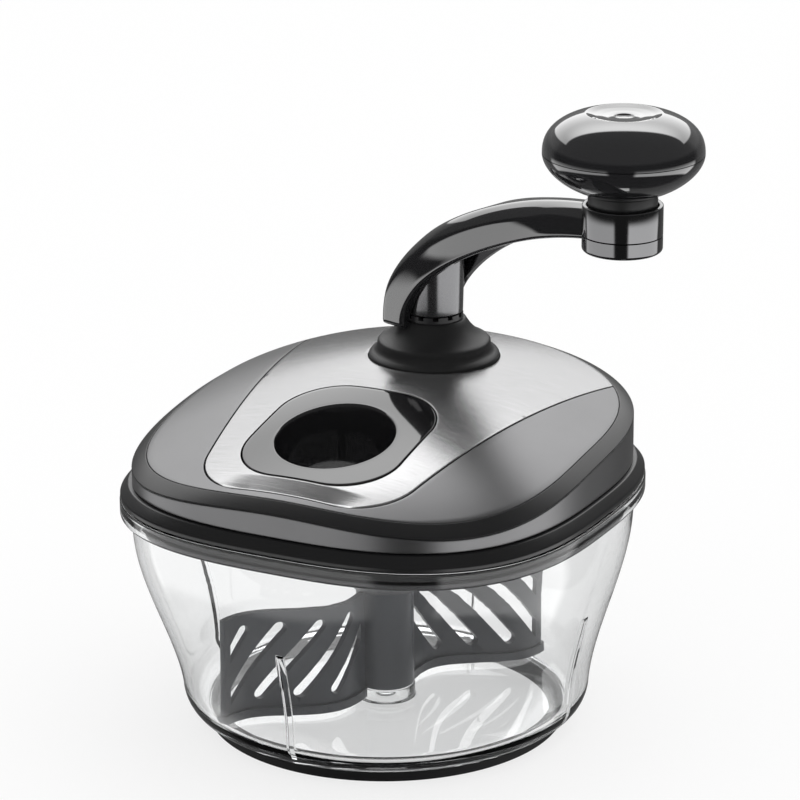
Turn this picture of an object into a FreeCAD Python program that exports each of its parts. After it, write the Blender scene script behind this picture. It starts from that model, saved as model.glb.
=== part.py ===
import FreeCAD, Part
import math
import os
import Sketcher

# A hand cranked food chopper. Its clear bowl stands on a black foot ring, its domed lid holds a gear
# pair, and the crank on the lid turns a slotted paddle in the bowl through that pair.
# Lengths are in millimetres. The origin is the middle of the foot's resting plane, on the bowl's axis.
# +Z is up, -Y is the front with the filler opening, and the crank's axis stands behind the bowl's axis.

SIZES = [
    # bowl
    ("bowl_base_half", 80.4, "outer half width at the round foot"),
    ("bowl_rim_half", 91.3, "outer half width under the rim"),
    ("bowl_wall", 2.2, "thickness of the bowl's wall"),
    ("floor_step", 0.3, "step where the inner wall meets the rounded floor"),
    ("bowl_power", 2.77, "roundness power of the squarish rim, 2 is a circle"),
    ("corner_bend", 11.0, "radius of the round foot corner"),
    ("corner_cut", 0.4, "length by which the foot's edge cuts that corner short"),
    ("flare_top", 80.0, "height where the flare ends"),
    ("lip_bottom", 90.2, "underside of the rim's lip"),
    ("lip_top", 96.8, "top of the rim"),
    ("lip_width", 3.7, "reach of the lip past the bowl's wall"),
    ("lip_chamfer", 0.8, "chamfer of the lip's edges"),
    ("floor_top", 7.5, "height of the floor inside"),
    ("floor_thick", 2.2, "thickness of the floor"),
    ("floor_flat", 65.5, "radius where the floor starts to rise"),
    ("skirt_bottom", 4.9, "height of the bowl's lower edge, over which the foot ring's groove starts"),
    ("boss_r", 11.7, "radius of the raised ring on the floor"),
    ("boss_wall", 2.0, "wall of that ring"),
    ("boss_rise", 5.3, "height of that ring over the floor"),
    ("pin_r", 4.0, "radius of the pin that the paddle turns on"),
    ("pin_top", 30.0, "top of that pin"),
    ("rib_width", 2.3, "width of the upright ribs on the wall"),
    ("rib_top", 54.0, "top of the ribs"),
    ("rib_depth", 1.8, "depth of the ribs from the wall"),
    # foot ring
    ("foot_inner", 65.0, "inner radius of the foot ring"),
    ("foot_outer", 70.8, "outer radius of the foot ring"),
    ("foot_clear", 0.3, "gap from the foot ring to the skirt"),
    # lid
    ("lid_gap", 0.3, "gap between the rim and the lid"),
    ("lid_power", 2.83, "roundness power of the lid"),
    ("lid_inset", 5.0, "step from the lip's edge in to the lid's wall"),
    ("flange_inset", 0.7, "step from the lip's edge in to the flange"),
    ("flange_edge", 1.9, "height of the flange's upright edge"),
    ("flange_rise", 5.6, "height of the whole flange"),
    ("neck_step", 1.35, "step from the lid's wall out to the flange's upper edge"),
    ("trim_thick", 1.5, "thickness of the grey wall band"),
    ("trim_seam", 0.2, "seam above and below that band"),
    ("band_width", 5.4, "width of the dark shoulder band"),
    ("band_drop", 1.6, "slope of the shoulder band"),
    ("band_edge", 0.4, "upright edge of the shoulder band"),
    ("cover_thick", 1.8, "thickness of the dome's panels"),
    ("shell_thick", 2.2, "thickness of the frame below the panels"),
    ("wall_thick", 2.0, "thickness of the frame behind the grey band"),
    ("seat_gap", 0.1, "gap between nested pieces that don't move"),
    ("dome_top", 136.8, "height of the dome's crown"),
    ("dome_across", 250.0, "radius of the dome from side to side"),
    ("dome_along", 370.0, "radius of the dome from front to back"),
    ("dome_y", 38.0, "place of the crown behind the bowl's axis"),
    # steel plate, filler opening
    ("plate_margin", 9.2, "step from the lid's wall in to the plate's front edge"),
    ("plate_front_half", 39.7, "half width of the plate at its front"),
    ("plate_back_half", 71.6, "half width of the plate at the back"),
    ("plate_back", 80.0, "place where that width is measured"),
    ("plate_corner", 25.0, "radius of the plate's front corners"),
    ("groove", 0.6, "dark groove round the plate and the surround"),
    ("filler_half_x", 32.2, "half width of the filler's surround"),
    ("filler_half_y", 34.2, "half depth of the filler's surround"),
    ("filler_corner", 22.0, "corner radius of the surround"),
    ("filler_y", 37.1, "distance of the surround's middle in front of the axis"),
    ("hole_y", 40.5, "distance of the filler hole in front of the axis"),
    ("hole_r", 22.8, "radius of the filler hole"),
    ("chute_wall", 1.5, "wall of the chute under the hole"),
    ("chute_bottom", 93.0, "lower end of the chute"),
    ("mouth_round", 1.2, "rounding of the hole's edge"),
    # gears
    ("gear_module", 1.0, "module of both gears"),
    ("drive_teeth", 62, "teeth of the gear on the crank shaft"),
    ("pinion_teeth", 24, "teeth of the gear on the bowl's axis"),
    ("gear_face", 5.0, "width of the teeth"),
    ("backlash", 0.2, "play between the teeth"),
    ("hub_r", 9.0, "radius of the drive gear's hub"),
    ("hub_rise", 4.6, "height of that hub over the teeth"),
    ("box_floor", 2.5, "thickness of the gearbox's floor and cover"),
    ("box_wall", 1.6, "thickness of the gearbox's wall"),
    ("box_clear", 0.9, "gap from the tooth tips to that wall"),
    ("gear_lift", 1.7, "height of the bush bosses on the floor"),
    ("end_play", 0.3, "gap beside parts that turn"),
    ("turn_gap", 0.04, "radial play of a shaft in its bush"),
    ("bush_wall", 2.0, "wall of the shaft bushes"),
    # inside of the lid
    ("base_thick", 2.4, "thickness of the lid's floor"),
    ("plug_gap", 2.1, "gap between the plug and the bowl's wall"),
    ("plug_wall", 2.8, "wall of the plug"),
    ("plug_depth", 9.1, "depth of the plug"),
    ("seal_low", 3.0, "distance from the plug's lower edge to the seal"),
    ("seal_height", 3.0, "height of the seal"),
    ("seal_groove", 0.8, "depth of the seal's groove"),
    ("post_offset", 57.0, "place of the lid's screw posts along X and Y"),
    ("post_r", 4.0, "radius of the screw posts"),
    # shafts
    ("shaft_r", 5.0, "radius of the crank shaft"),
    ("clip_depth", 0.8, "depth of a clip's groove"),
    ("clip_thick", 1.2, "thickness of the clips"),
    ("clip_width", 3.2, "radial width of the clips"),
    ("gear_pin_r", 1.5, "radius of the drive gear's cross pin"),
    ("arm_pin_r", 1.5, "radius of the arm's cross pin"),
    ("journal_r", 6.0, "radius of the output shaft's lower journal"),
    ("stub_r", 3.5, "radius of the output shaft's upper journal"),
    ("square_drive", 10.0, "width of the square that drives the paddle"),
    ("square_gear", 7.0, "width of the square that carries the pinion"),
    ("drive_clear", 0.3, "gap round the square in the paddle"),
    ("drive_reach", 26.0, "length of the square inside the paddle"),
    # bell and sleeve
    ("bell_r", 25.9, "radius of the bell's base"),
    ("bell_gap", 0.3, "gap from the bell to the steel plate"),
    ("bell_ridge_r", 22.4, "radius of the bell's ridge"),
    ("bell_ridge_rise", 5.2, "height of the ridge over the crown"),
    ("bell_neck_r", 12.6, "radius of the bell's top"),
    ("bell_rise", 14.6, "height of the bell over the crown"),
    ("bell_wall", 2.4, "wall of the bell"),
    ("spigot_r", 20.0, "radius of the bell's spigot in the frame"),
    ("spigot_depth", 9.0, "depth of that spigot below the crown"),
    ("bush_flange_r", 11.6, "radius of the upper bush's notched flange"),
    ("bush_flange", 2.6, "height of that flange"),
    ("notch_width", 2.2, "width of the flange's notches"),
    ("notch_count", 12, "number of notches"),
    ("sleeve_low_r", 11.5, "lower radius of the sleeve"),
    ("sleeve_top_r", 12.2, "upper radius of the sleeve"),
    ("sleeve_length", 26.5, "length of the sleeve"),
    ("shaft_short", 13.5, "distance from the sleeve's top down to the shaft's end"),
    ("arm_pin_rise", 9.0, "height of the arm's cross pin over the sleeve's lower end"),
    ("hood_clear", 0.7, "gap from the turning hood to the bell's top"),
    # crank arm
    ("arm_turn", -17.0, "direction of the arm, in degrees from +X"),
    ("arm_reach", 97.2, "distance from the crank's axis to the knob's axis"),
    ("arm_crest", 214.2, "height of the arm's upper side at the knob"),
    ("arm_belly", 202.3, "height of the arm's lower side at the knob"),
    ("hood_back", 13.0, "reach of the hood behind the crank's axis"),
    ("hood_front", 1.5, "lower front edge of the hood behind that axis"),
    ("hood_low", 151.6, "height where the hood's rounded end starts"),
    ("hood_sag", 2.0, "depth of that rounded end"),
    ("hood_half", 17.0, "half width of the hood"),
    ("arm_half", 8.6, "half width of the arm at the knob"),
    ("taper_start", 8.0, "start of the arm's taper"),
    ("taper_end", 62.0, "end of the arm's taper"),
    ("crest_power", 2.1, "roundness power of the upper outline"),
    ("belly_power", 1.7, "roundness power of the lower outline"),
    ("cheek", 4.6, "thickness of the hood's cheeks"),
    ("roof", 3.4, "thickness of the hood's roof"),
    ("slot_end", 30.0, "end of the hood's hollow"),
    ("foot_round", 4.0, "rounding of the hood's lower corners"),
    ("arm_round", 3.0, "rounding of the arm's edges"),
    # collar at the arm's end
    ("collar_r", 15.2, "outer radius of the collar"),
    ("collar_wall", 1.7, "wall of the collar"),
    ("collar_top", 216.0, "top of the collar"),
    ("collar_seam", 204.2, "height of the seam between collar and cap"),
    ("seam_gap", 0.2, "width of that seam"),
    ("cap_low", 198.0, "underside of the cap"),
    ("cap_floor", 3.0, "thickness of the cap's floor"),
    ("cap_screw_r", 9.4, "distance from the knob's axis to the cap's screws"),
    ("cap_round", 1.6, "rounding of the cap's lower edge"),
    ("collar_round", 0.6, "rounding of the collar's upper edge"),
    # knob
    ("axle_r", 4.0, "radius of the knob's axle"),
    ("knob_r", 30.3, "radius of the knob"),
    ("knob_low", 218.0, "underside of the knob"),
    ("knob_split", 235.5, "height of the knob's seam"),
    ("knob_seam", 0.3, "width of that seam"),
    ("knob_rise", 16.5, "height of the upper half, before the dish cuts it"),
    ("knob_power", 2.4, "roundness power of the upper half"),
    ("base_power", 1.8, "roundness power of the lower half"),
    ("knob_wall", 2.4, "wall of the knob's halves"),
    ("dish_r", 14.3, "radius of the dish on the knob"),
    ("dish_depth", 1.2, "depth of the dish"),
    ("dimple_r", 3.75, "radius of the dimple in the dish"),
    ("dimple_depth", 0.8, "depth of the dimple"),
    ("neck_r", 13.1, "radius of the knob's neck"),
    ("knob_hub_r", 8.6, "outer radius of the hubs inside the knob"),
    ("knob_bush_wall", 1.8, "wall of the knob's bushes"),
    ("knob_bush", 7.0, "length of the knob's bushes"),
    ("knob_hub_top", 243.0, "top of the hub inside the knob"),
    # paddle
    ("tube_r", 11.4, "radius of the paddle's tube"),
    ("tube_top", 88.0, "top of the paddle's tube"),
    ("paddle_gap", 0.4, "gap from the floor's ring to the paddle"),
    ("wing_low", 10.0, "lower edge of the wings"),
    ("wing_top", 53.0, "upper edge of the wings"),
    ("wing_thick", 2.5, "thickness of the wings"),
    ("wing_tip", 72.0, "distance from the axis to the wing tips"),
    ("wing_turn", 62.0, "direction of the wings, in degrees from +X"),
    ("wing_swing", 7.0, "sideways swing of the wings"),
    ("wing_wave", 72.0, "length of one full swing"),
    ("wing_root", 10.0, "distance from the axis where the swing starts"),
    ("foot_rib", 5.0, "thickness of the rib along the lower edge"),
    ("foot_rib_height", 3.5, "height of that rib"),
    ("slot_width", 4.6, "width of the slots"),
    ("slot_pitch", 13.7, "distance between the slots"),
    ("slot_low", 17.0, "lower end of the slots"),
    ("slot_high", 48.5, "upper end of the slots"),
    ("slot_lean", 38.0, "lean of the slots, in degrees from upright"),
    ("slot_first", 18.4, "distance from the axis to the first slot's middle"),
    ("slot_count", 5, "slots in each wing"),
    ("slot_margin", 3.0, "bar left beside the slots at the wing's tip and at the tube"),
    ("ring_wall", 1.2, "wall of the clear sleeve on the tube"),
    ("ring_top", 86.0, "top of that sleeve"),
    # screws
    ("screw_r", 1.4, "radius of the screws"),
    ("screw_head_r", 2.8, "radius of the screw heads"),
    ("screw_head", 1.8, "height of the screw heads"),
    ("screw_length", 9.0, "length of the screws under the head"),
]


class Size(float):
    """A number that remembers the sheet expression it was worked out from."""

    def __new__(cls, number, text=None):
        size = super().__new__(cls, number)
        size.text = text or repr(float(number))
        return size

    def joined(self, sign, other, number):
        """Keep the expression of this number and another one."""
        return Size(number, "(" + self.text + sign + getattr(other, "text", repr(float(other))) + ")")

    def __add__(self, other):
        return self.joined(" + ", other, float(self) + float(other))

    def __sub__(self, other):
        return self.joined(" - ", other, float(self) - float(other))

    def __mul__(self, other):
        return self.joined(" * ", other, float(self) * float(other))

    def __truediv__(self, other):
        return self.joined(" / ", other, float(self) / float(other))


class Sizes:
    """The sheet's sizes by name."""


doc = FreeCAD.newDocument("crank_food_chopper")
sheet = doc.addObject("Spreadsheet::Sheet", "sizes")
for row, (name, number, meaning) in enumerate(SIZES, start=1):
    sheet.set("A" + str(row), meaning)
    sheet.set("B" + str(row), str(number))
    sheet.setAlias("B" + str(row), name)
doc.recompute()
sizes = Sizes()
for name, _, _ in SIZES:
    setattr(sizes, name, Size(float(sheet.get(name)), "sizes." + name))
zero = Size(0.0)

# Widths, heights and places that several pieces share.
corner_top = sizes.skirt_bottom + sizes.corner_bend - sizes.corner_cut
lip_half = sizes.bowl_rim_half + sizes.lip_width
flange_half = lip_half - sizes.flange_inset
lid_half = lip_half - sizes.lid_inset
flange_neck = lid_half + sizes.neck_step
plug_half = sizes.bowl_rim_half - sizes.bowl_wall - sizes.plug_gap
plate_front = lid_half - sizes.plate_margin
dome_reach = lip_half + sizes.plate_corner
crank_y = (sizes.drive_teeth + sizes.pinion_teeth) * sizes.gear_module / 2
lid_low = sizes.lip_top + sizes.lid_gap
flange_top = lid_low + sizes.flange_rise
trim_low = flange_top + sizes.trim_seam
base_top = lid_low + sizes.base_thick
box_top = base_top + sizes.box_floor
boss_top = box_top + sizes.gear_lift
gear_low = boss_top + sizes.end_play
gear_top = gear_low + sizes.gear_face
hub_top = gear_top + sizes.hub_rise
cover_low = hub_top + sizes.end_play
cover_top = cover_low + sizes.box_floor
bell_top = sizes.dome_top + sizes.bell_rise
spigot_low = sizes.dome_top - sizes.spigot_depth
bush_top = bell_top + sizes.bush_flange
sleeve_low = bush_top + sizes.end_play
sleeve_top = sleeve_low + sizes.sleeve_length
shaft_low = base_top + sizes.end_play
shaft_top = sleeve_top - sizes.shaft_short
shell_drop = sizes.cover_thick + sizes.seat_gap
hub_low = sizes.cap_low + sizes.cap_floor + sizes.seam_gap
arm_hub_top = sizes.collar_top - sizes.collar_wall + sizes.seam_gap
neck_low = arm_hub_top + sizes.end_play
boss_high = sizes.floor_top + sizes.boss_rise
paddle_low = boss_high + sizes.paddle_gap
chute_r = sizes.hole_r + sizes.chute_wall
crank_axis = FreeCAD.Vector(0, crank_y, 0)
arm_heading = math.radians(sizes.arm_turn)
knob_x = sizes.arm_reach * math.cos(arm_heading)
knob_y = crank_y + sizes.arm_reach * math.sin(arm_heading)
knob_axis = FreeCAD.Vector(knob_x, knob_y, 0)


# ---------------------------------------------------------------- ways to make a piece

def piece(label, shape, turn=0.0, base=FreeCAD.Vector()):
    """A piece whose shape comes from the functions below."""
    thing = doc.addObject("Part::Feature", label)
    thing.Shape = shape
    thing.Placement = FreeCAD.Placement(base, FreeCAD.Rotation(FreeCAD.Vector(0, 0, 1), turn))
    return thing


def place(thing, x_text=None, y_text=None, turn_text=None):
    """Tie a piece's place to the sheet."""
    if x_text:
        thing.setExpression("Placement.Base.x", x_text)
    if y_text:
        thing.setExpression("Placement.Base.y", y_text)
    if turn_text:
        thing.setExpression("Placement.Rotation.Angle", turn_text)


def on_crank_axis(thing):
    """Stand a turned piece on the crank's axis."""
    place(thing, y_text=crank_y.text)
    return thing


def on_knob_axis(thing):
    """Stand a turned piece on the knob's axis."""
    angle = "(" + sizes.arm_turn.text + " * 1 deg)"
    reach = sizes.arm_reach.text
    place(thing, reach + " * cos" + angle, crank_y.text + " + " + reach + " * sin" + angle)
    return thing


def outline_sketch(body, label, profile):
    """A closed sketch of (across, height) corners in a body's XZ plane, each corner tied to the sheet."""
    sketch = body.newObject("Sketcher::SketchObject", label)
    plane = [part for part in body.Origin.OriginFeatures if part.Role == "XZ_Plane"][0]
    sketch.AttachmentSupport = [(plane, "")]
    sketch.MapMode = "FlatFace"
    corners = [FreeCAD.Vector(across, height, 0) for across, height in profile]
    for start, end in zip(corners, corners[1:] + corners[:1]):
        sketch.addGeometry(Part.LineSegment(start, end))
    for edge in range(len(corners)):
        sketch.addConstraint(Sketcher.Constraint("Coincident", edge, 2, (edge + 1) % len(corners), 1))
    for edge, (across, height) in enumerate(profile):
        if across == 0:
            sketch.addConstraint(Sketcher.Constraint("PointOnObject", edge, 1, -2))
        else:
            bind(sketch, Sketcher.Constraint("DistanceX", -1, 1, edge, 1, float(across)), across)
        bind(sketch, Sketcher.Constraint("DistanceY", -1, 1, edge, 1, float(height)), height)
    return sketch


def turned(label, profile):
    """A PartDesign body: a closed outline of (radius, height) corners, turned about Z."""
    body = doc.addObject("PartDesign::Body", label)
    sketch = outline_sketch(body, label + "_outline", profile)
    spin = body.newObject("PartDesign::Revolution", label + "_turned")
    spin.Profile = sketch
    spin.ReferenceAxis = (sketch, ["V_Axis"])
    spin.Angle = 360
    return body


def bind(sketch, constraint, size):
    """Add a constraint and tie it to the sheet."""
    index = sketch.addConstraint(constraint)
    if getattr(size, "text", "") and "sizes." in size.text:
        sketch.setExpression("Constraints[" + str(index) + "]", size.text)


def tube(label, inner, outer, low, high):
    """A turned ring with an upright wall."""
    return turned(label, [(inner, low), (outer, low), (outer, high), (inner, high)])


def edge_at(body, radius, height):
    """The names of a body's round edges of one radius at one height."""
    doc.recompute()
    names = []
    for number, edge in enumerate(body.Shape.Edges, start=1):
        box = edge.BoundBox
        level = abs(box.ZMin - height) < 0.01 and abs(box.ZMax - height) < 0.01
        if level and abs(box.XMax - box.XMin - 2 * radius) < 0.01:
            names.append("Edge" + str(number))
    return names


def rounded_edge(body, radius, height, size):
    """A PartDesign fillet on a turned body's round edge."""
    names = edge_at(body, radius, height)
    solid = body.Tip
    fillet = body.newObject("PartDesign::Fillet", body.Label + "_rounding")
    fillet.Base = (solid, names)
    fillet.setExpression("Radius", size.text)


def rod(label, radius, length):
    """A Part cylinder whose sizes come from the sheet."""
    cylinder = doc.addObject("Part::Cylinder", label)
    cylinder.setExpression("Radius", radius.text)
    cylinder.setExpression("Height", length.text)
    return cylinder


def boolean(kind, label, base, tool):
    """A Part boolean of two document objects."""
    result = doc.addObject(kind, label)
    result.Base = base
    result.Tool = tool
    return result


# ---------------------------------------------------------------- shapes

def upright(x, y, radius, low, high):
    """A cylinder along Z."""
    return Part.makeCylinder(radius, high - low, FreeCAD.Vector(x, y, low))


def block(half_x, half_y, low, high, y=0.0):
    """A box centred on X = 0."""
    corner = FreeCAD.Vector(-half_x, y - half_y, low)
    return Part.makeBox(2 * half_x, 2 * half_y, high - low, corner)


def squarish(half, power, height, points=20):
    """A superellipse at one height: |x/half|^power + |y/half|^power = 1."""
    corners = []
    for step in range(points):
        angle = 2 * math.pi * step / points
        total = abs(math.cos(angle)) ** power + abs(math.sin(angle)) ** power
        radius = half * total ** (-1 / power)
        corners.append(FreeCAD.Vector(radius * math.cos(angle), radius * math.sin(angle), height))
    curve = Part.BSplineCurve()
    curve.interpolate(Points=corners, PeriodicFlag=True)
    return Part.Wire([curve.toShape()])


def squarish_prism(half, power, low, high):
    """An upright prism on a superellipse."""
    return Part.Face(squarish(half, power, low)).extrude(FreeCAD.Vector(0, 0, high - low))


def lid_prism(half, low, high):
    """A prism in the lid's own outline."""
    return squarish_prism(half, sizes.lid_power, low, high)


def dome(drop=0.0):
    """The space under the dome, lowered by a drop: an arc across X, swept on an arc along Y."""
    reach = dome_reach
    floor = sizes.floor_top
    radius = sizes.dome_across - drop
    middle = sizes.dome_top - sizes.dome_across
    side = middle + math.sqrt(radius ** 2 - reach ** 2)
    crown = FreeCAD.Vector(0, sizes.dome_y, sizes.dome_top - drop)
    left = FreeCAD.Vector(-reach, sizes.dome_y, side)
    right = FreeCAD.Vector(reach, sizes.dome_y, side)
    left_foot = FreeCAD.Vector(-reach, sizes.dome_y, floor)
    right_foot = FreeCAD.Vector(reach, sizes.dome_y, floor)
    edges = [Part.Arc(left, crown, right).toShape(), Part.makeLine(right, right_foot)]
    edges += [Part.makeLine(right_foot, left_foot), Part.makeLine(left_foot, left)]
    face = Part.Face(Part.Wire(edges))
    pivot = FreeCAD.Vector(0, sizes.dome_y, sizes.dome_top - sizes.dome_along)
    angle = math.degrees(math.asin((reach + sizes.dome_y) / sizes.dome_along))
    face.rotate(pivot, FreeCAD.Vector(1, 0, 0), angle)
    return face.revolve(pivot, FreeCAD.Vector(-1, 0, 0), 2 * angle)


def rounded(corners, radius):
    """A closed outline of (x, y) corners, each rounded with a tangent arc."""
    points = [FreeCAD.Vector(x, y, 0) for x, y in corners]
    edges = []
    ends = []
    for index, corner in enumerate(points):
        back = (points[index - 1] - corner).normalize()
        ahead = (points[(index + 1) % len(points)] - corner).normalize()
        half_angle = back.getAngle(ahead) / 2
        start = corner + back * (radius / math.tan(half_angle))
        end = corner + ahead * (radius / math.tan(half_angle))
        inward = (back + ahead).normalize()
        top = corner + inward * (radius / math.sin(half_angle) - radius)
        edges.append(Part.Arc(start, top, end).toShape())
        ends.append((start, end))
    for index in range(len(points)):
        edges.append(Part.makeLine(ends[index - 1][1], ends[index][0]))
    return Part.Wire(Part.__sortEdges__(edges))


def standing(wire, low, high):
    """An upright prism on a flat outline."""
    face = Part.Face(wire)
    face.translate(FreeCAD.Vector(0, 0, low))
    return face.extrude(FreeCAD.Vector(0, 0, high - low))


def quarter(centre, half_x, half_z, power, points=11):
    """Points on a quarter superellipse in the XZ plane, from its side to its top."""
    result = []
    for step in range(points):
        angle = math.pi / 2 * step / (points - 1)
        x = centre[0] + half_x * math.cos(angle) ** (2 / power)
        z = centre[1] + half_z * math.sin(angle) ** (2 / power)
        result.append(FreeCAD.Vector(x, 0, z))
    return result


def curve(points):
    """A smooth curve through points."""
    spline = Part.BSplineCurve()
    spline.interpolate(points)
    return spline.toShape()


def path(points):
    """Straight edges through points."""
    return [Part.makeLine(start, end) for start, end in zip(points, points[1:])]


def spun(edges):
    """A closed outline in the XZ plane, turned about Z."""
    face = Part.Face(Part.Wire(Part.__sortEdges__(edges)))
    return face.revolve(FreeCAD.Vector(), FreeCAD.Vector(0, 0, 1), 360)


def at(radius, height):
    """A point of a turned outline."""
    return FreeCAD.Vector(radius, 0, height)


# ---------------------------------------------------------------- bowl

def bowl_half(height):
    """Outer half width of the bowl at a height: it widens on a smooth step."""
    share = (height - corner_top) / (sizes.flare_top - corner_top)
    share = min(max(float(share), 0.0), 1.0)
    return sizes.bowl_base_half + (sizes.bowl_rim_half - sizes.bowl_base_half) * share ** 2 * (3 - 2 * share)


def bowl_body(inset):
    """The bowl's solid form over the foot: a loft through round to squarish rings."""
    rings = []
    levels = 5
    for level in range(levels):
        share = level / (levels - 1)
        height = corner_top + (sizes.lip_bottom - corner_top) * share
        power = 2 + (sizes.bowl_power - 2) * share
        rings.append(squarish(bowl_half(height) - inset, power, height))
    return Part.makeLoft(rings, True)


def foot_body():
    """The bowl's solid foot: a loft of circles whose edge is an arc that ends upright under the wall."""
    sweep = math.asin(1 - sizes.corner_cut / sizes.corner_bend)
    rings = []
    steps = 5
    for step in range(steps + 1):
        turn = sweep * (1 - step / steps)
        radius = sizes.bowl_base_half - sizes.corner_bend * (1 - math.cos(turn))
        rings.append(squarish(radius, 2, corner_top - sizes.corner_bend * math.sin(turn)))
    return Part.makeLoft(rings, True)


def lip_form():
    """The rim's lip, with its edges chamfered."""
    edge = sizes.lip_chamfer
    stops = [(edge, sizes.lip_bottom), (0, sizes.lip_bottom + edge), (0, sizes.lip_top - edge), (edge, sizes.lip_top)]
    return Part.makeLoft([squarish(lip_half - inset, sizes.bowl_power, height) for inset, height in stops],
                         True, True)


def bowl():
    """Clear bowl: round foot, squarish rim, ring and pin on the floor, four ribs on the wall."""
    underside = sizes.floor_top - sizes.floor_thick
    outside = bowl_body(0).fuse([foot_body(), lip_form()])
    mouth = squarish_prism(bowl_half(sizes.lip_bottom) - sizes.bowl_wall, sizes.bowl_power, sizes.lip_bottom,
                           sizes.lip_top)
    recess = upright(0, 0, sizes.foot_outer + sizes.foot_clear, 0, underside)
    wall_r = sizes.bowl_base_half - sizes.bowl_wall + sizes.floor_step
    swing = quarter((0, 0), wall_r - sizes.floor_flat, corner_top - sizes.floor_top, 2)
    bend = curve([at(sizes.floor_flat + point.x, corner_top - point.z) for point in swing])
    floor = spun([bend] + path([at(sizes.floor_flat, sizes.floor_top), at(0, sizes.floor_top),
                                at(0, corner_top), at(wall_r, corner_top)]))
    shell = outside.cut([floor, bowl_body(sizes.bowl_wall), mouth, recess])
    steps = 6
    side = -sizes.rib_width / 2
    profile = [FreeCAD.Vector(lip_half, side, sizes.rib_top), FreeCAD.Vector(lip_half, side, sizes.floor_top)]
    for step in range(steps + 1):
        height = sizes.floor_top + (sizes.rib_top - sizes.floor_top) * step / steps
        inner = bowl_half(max(height, corner_top)) - sizes.bowl_wall - sizes.rib_depth
        profile.append(FreeCAD.Vector(inner, side, height))
    profile.append(profile[0])
    ribs = []
    for turn in range(4):
        rib = Part.Face(Part.makePolygon(profile)).extrude(FreeCAD.Vector(0, sizes.rib_width, 0))
        rib.rotate(FreeCAD.Vector(), FreeCAD.Vector(0, 0, 1), 90 * turn)
        ribs.append(rib.common(outside))
    boss = upright(0, 0, sizes.boss_r, sizes.floor_top - sizes.floor_thick / 2, boss_high)
    boss = boss.cut(upright(0, 0, sizes.boss_r - sizes.boss_wall, sizes.floor_top, boss_high))
    pin = upright(0, 0, sizes.pin_r, sizes.floor_top - sizes.floor_thick / 2, sizes.pin_top)
    piece("bowl", shell.fuse(ribs + [boss, pin]))


bowl()
tube("foot_ring", sizes.foot_inner, sizes.foot_outer, zero, sizes.floor_top - sizes.floor_thick)


# ---------------------------------------------------------------- lid's outer pieces

def plate_outline(inset):
    """The steel plate's form seen from above: straight sides that widen to the back, round corners."""
    slope = (sizes.plate_back_half - sizes.plate_front_half) / (sizes.plate_back + plate_front)
    front = -plate_front + inset
    back = flange_half + sizes.plate_corner
    front_half = sizes.plate_front_half + slope * inset - inset
    back_half = sizes.plate_front_half + slope * (back + plate_front) - inset
    corners = [(-front_half, front), (front_half, front), (back_half, back), (-back_half, back)]
    return rounded(corners, sizes.plate_corner - inset)


def filler_outline(grow):
    """The filler surround's form seen from above."""
    half_x = sizes.filler_half_x + grow
    half_y = sizes.filler_half_y + grow
    corners = []
    for side_x, side_y in ((-1, -1), (1, -1), (1, 1), (-1, 1)):
        corners.append((side_x * half_x, side_y * half_y - sizes.filler_y))
    return rounded(corners, sizes.filler_corner + grow)


def shoulder_half():
    """Half width where the dome's panels end and the dark band starts."""
    return lid_half - sizes.band_width


def panel_layer(half):
    """The layer of the dome's panels inside one half width."""
    return lid_prism(half, trim_low, sizes.dome_top + 1).common(dome()).cut(dome(sizes.cover_thick))


def post_places():
    """Where the lid's screw posts stand."""
    offset = sizes.post_offset
    return [(-offset, -offset), (offset, -offset), (offset, offset), (-offset, offset)]


def lid_frame():
    """Black carrier of the lid: flange, wall, dark shoulder band and the shell under the panels."""
    top = sizes.dome_top + 1
    form = lid_prism(lid_half, lid_low, top).common(dome())
    shoulder = [edge for edge in form.Edges if edge.BoundBox.ZMin > trim_low and edge.Length > lid_half]
    form = form.makeChamfer(sizes.band_drop, sizes.band_width, shoulder)
    edge_top = lid_low + sizes.flange_edge
    flange = lid_prism(flange_half, lid_low, edge_top)
    flare = Part.makeLoft([squarish(flange_half, sizes.lid_power, edge_top),
                           squarish(flange_neck, sizes.lid_power, flange_top)], True)
    form = form.fuse([flange, flare])
    seat = lid_prism(shoulder_half() + sizes.seat_gap, trim_low, top).cut(dome(shell_drop))
    inner_half = lid_half - sizes.trim_thick - sizes.wall_thick
    inner = lid_prism(inner_half, lid_low, top).common(dome(shell_drop + sizes.shell_thick))
    trim_room = lid_prism(flange_half + 1, flange_top, top)
    trim_room = trim_room.cut(lid_prism(lid_half - sizes.trim_thick - sizes.seat_gap, lid_low, top))
    trim_room = trim_room.common(dome(sizes.band_drop + sizes.band_edge))
    chute_hole = upright(0, -sizes.hole_y, chute_r + sizes.seat_gap, lid_low, top)
    spigot_hole = upright(0, crank_y, sizes.spigot_r + sizes.seat_gap, lid_low, top)
    form = form.cut([seat, inner, trim_room, chute_hole, spigot_hole])
    posts = [upright(x, y, sizes.post_r, base_top, top) for x, y in post_places()]
    posts = [post.common(dome(shell_drop + sizes.shell_thick / 2)) for post in posts]
    holes = [upright(x, y, sizes.screw_r, lid_low, base_top + sizes.screw_length) for x, y in post_places()]
    piece("lid_frame", form.fuse(posts).cut(holes))


def side_trim():
    """Satin grey band round the lid's wall."""
    top = sizes.dome_top + 1
    ring = lid_prism(lid_half, trim_low, top)
    ring = ring.cut(lid_prism(lid_half - sizes.trim_thick, lid_low, top))
    piece("side_trim", ring.common(dome(sizes.band_drop + sizes.band_edge + sizes.trim_seam)))


def top_cover():
    """Satin grey panel of the dome, open where the steel plate lies."""
    opening = standing(plate_outline(-sizes.groove), trim_low, sizes.dome_top + 1)
    piece("top_cover", panel_layer(shoulder_half()).cut(opening))


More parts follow.
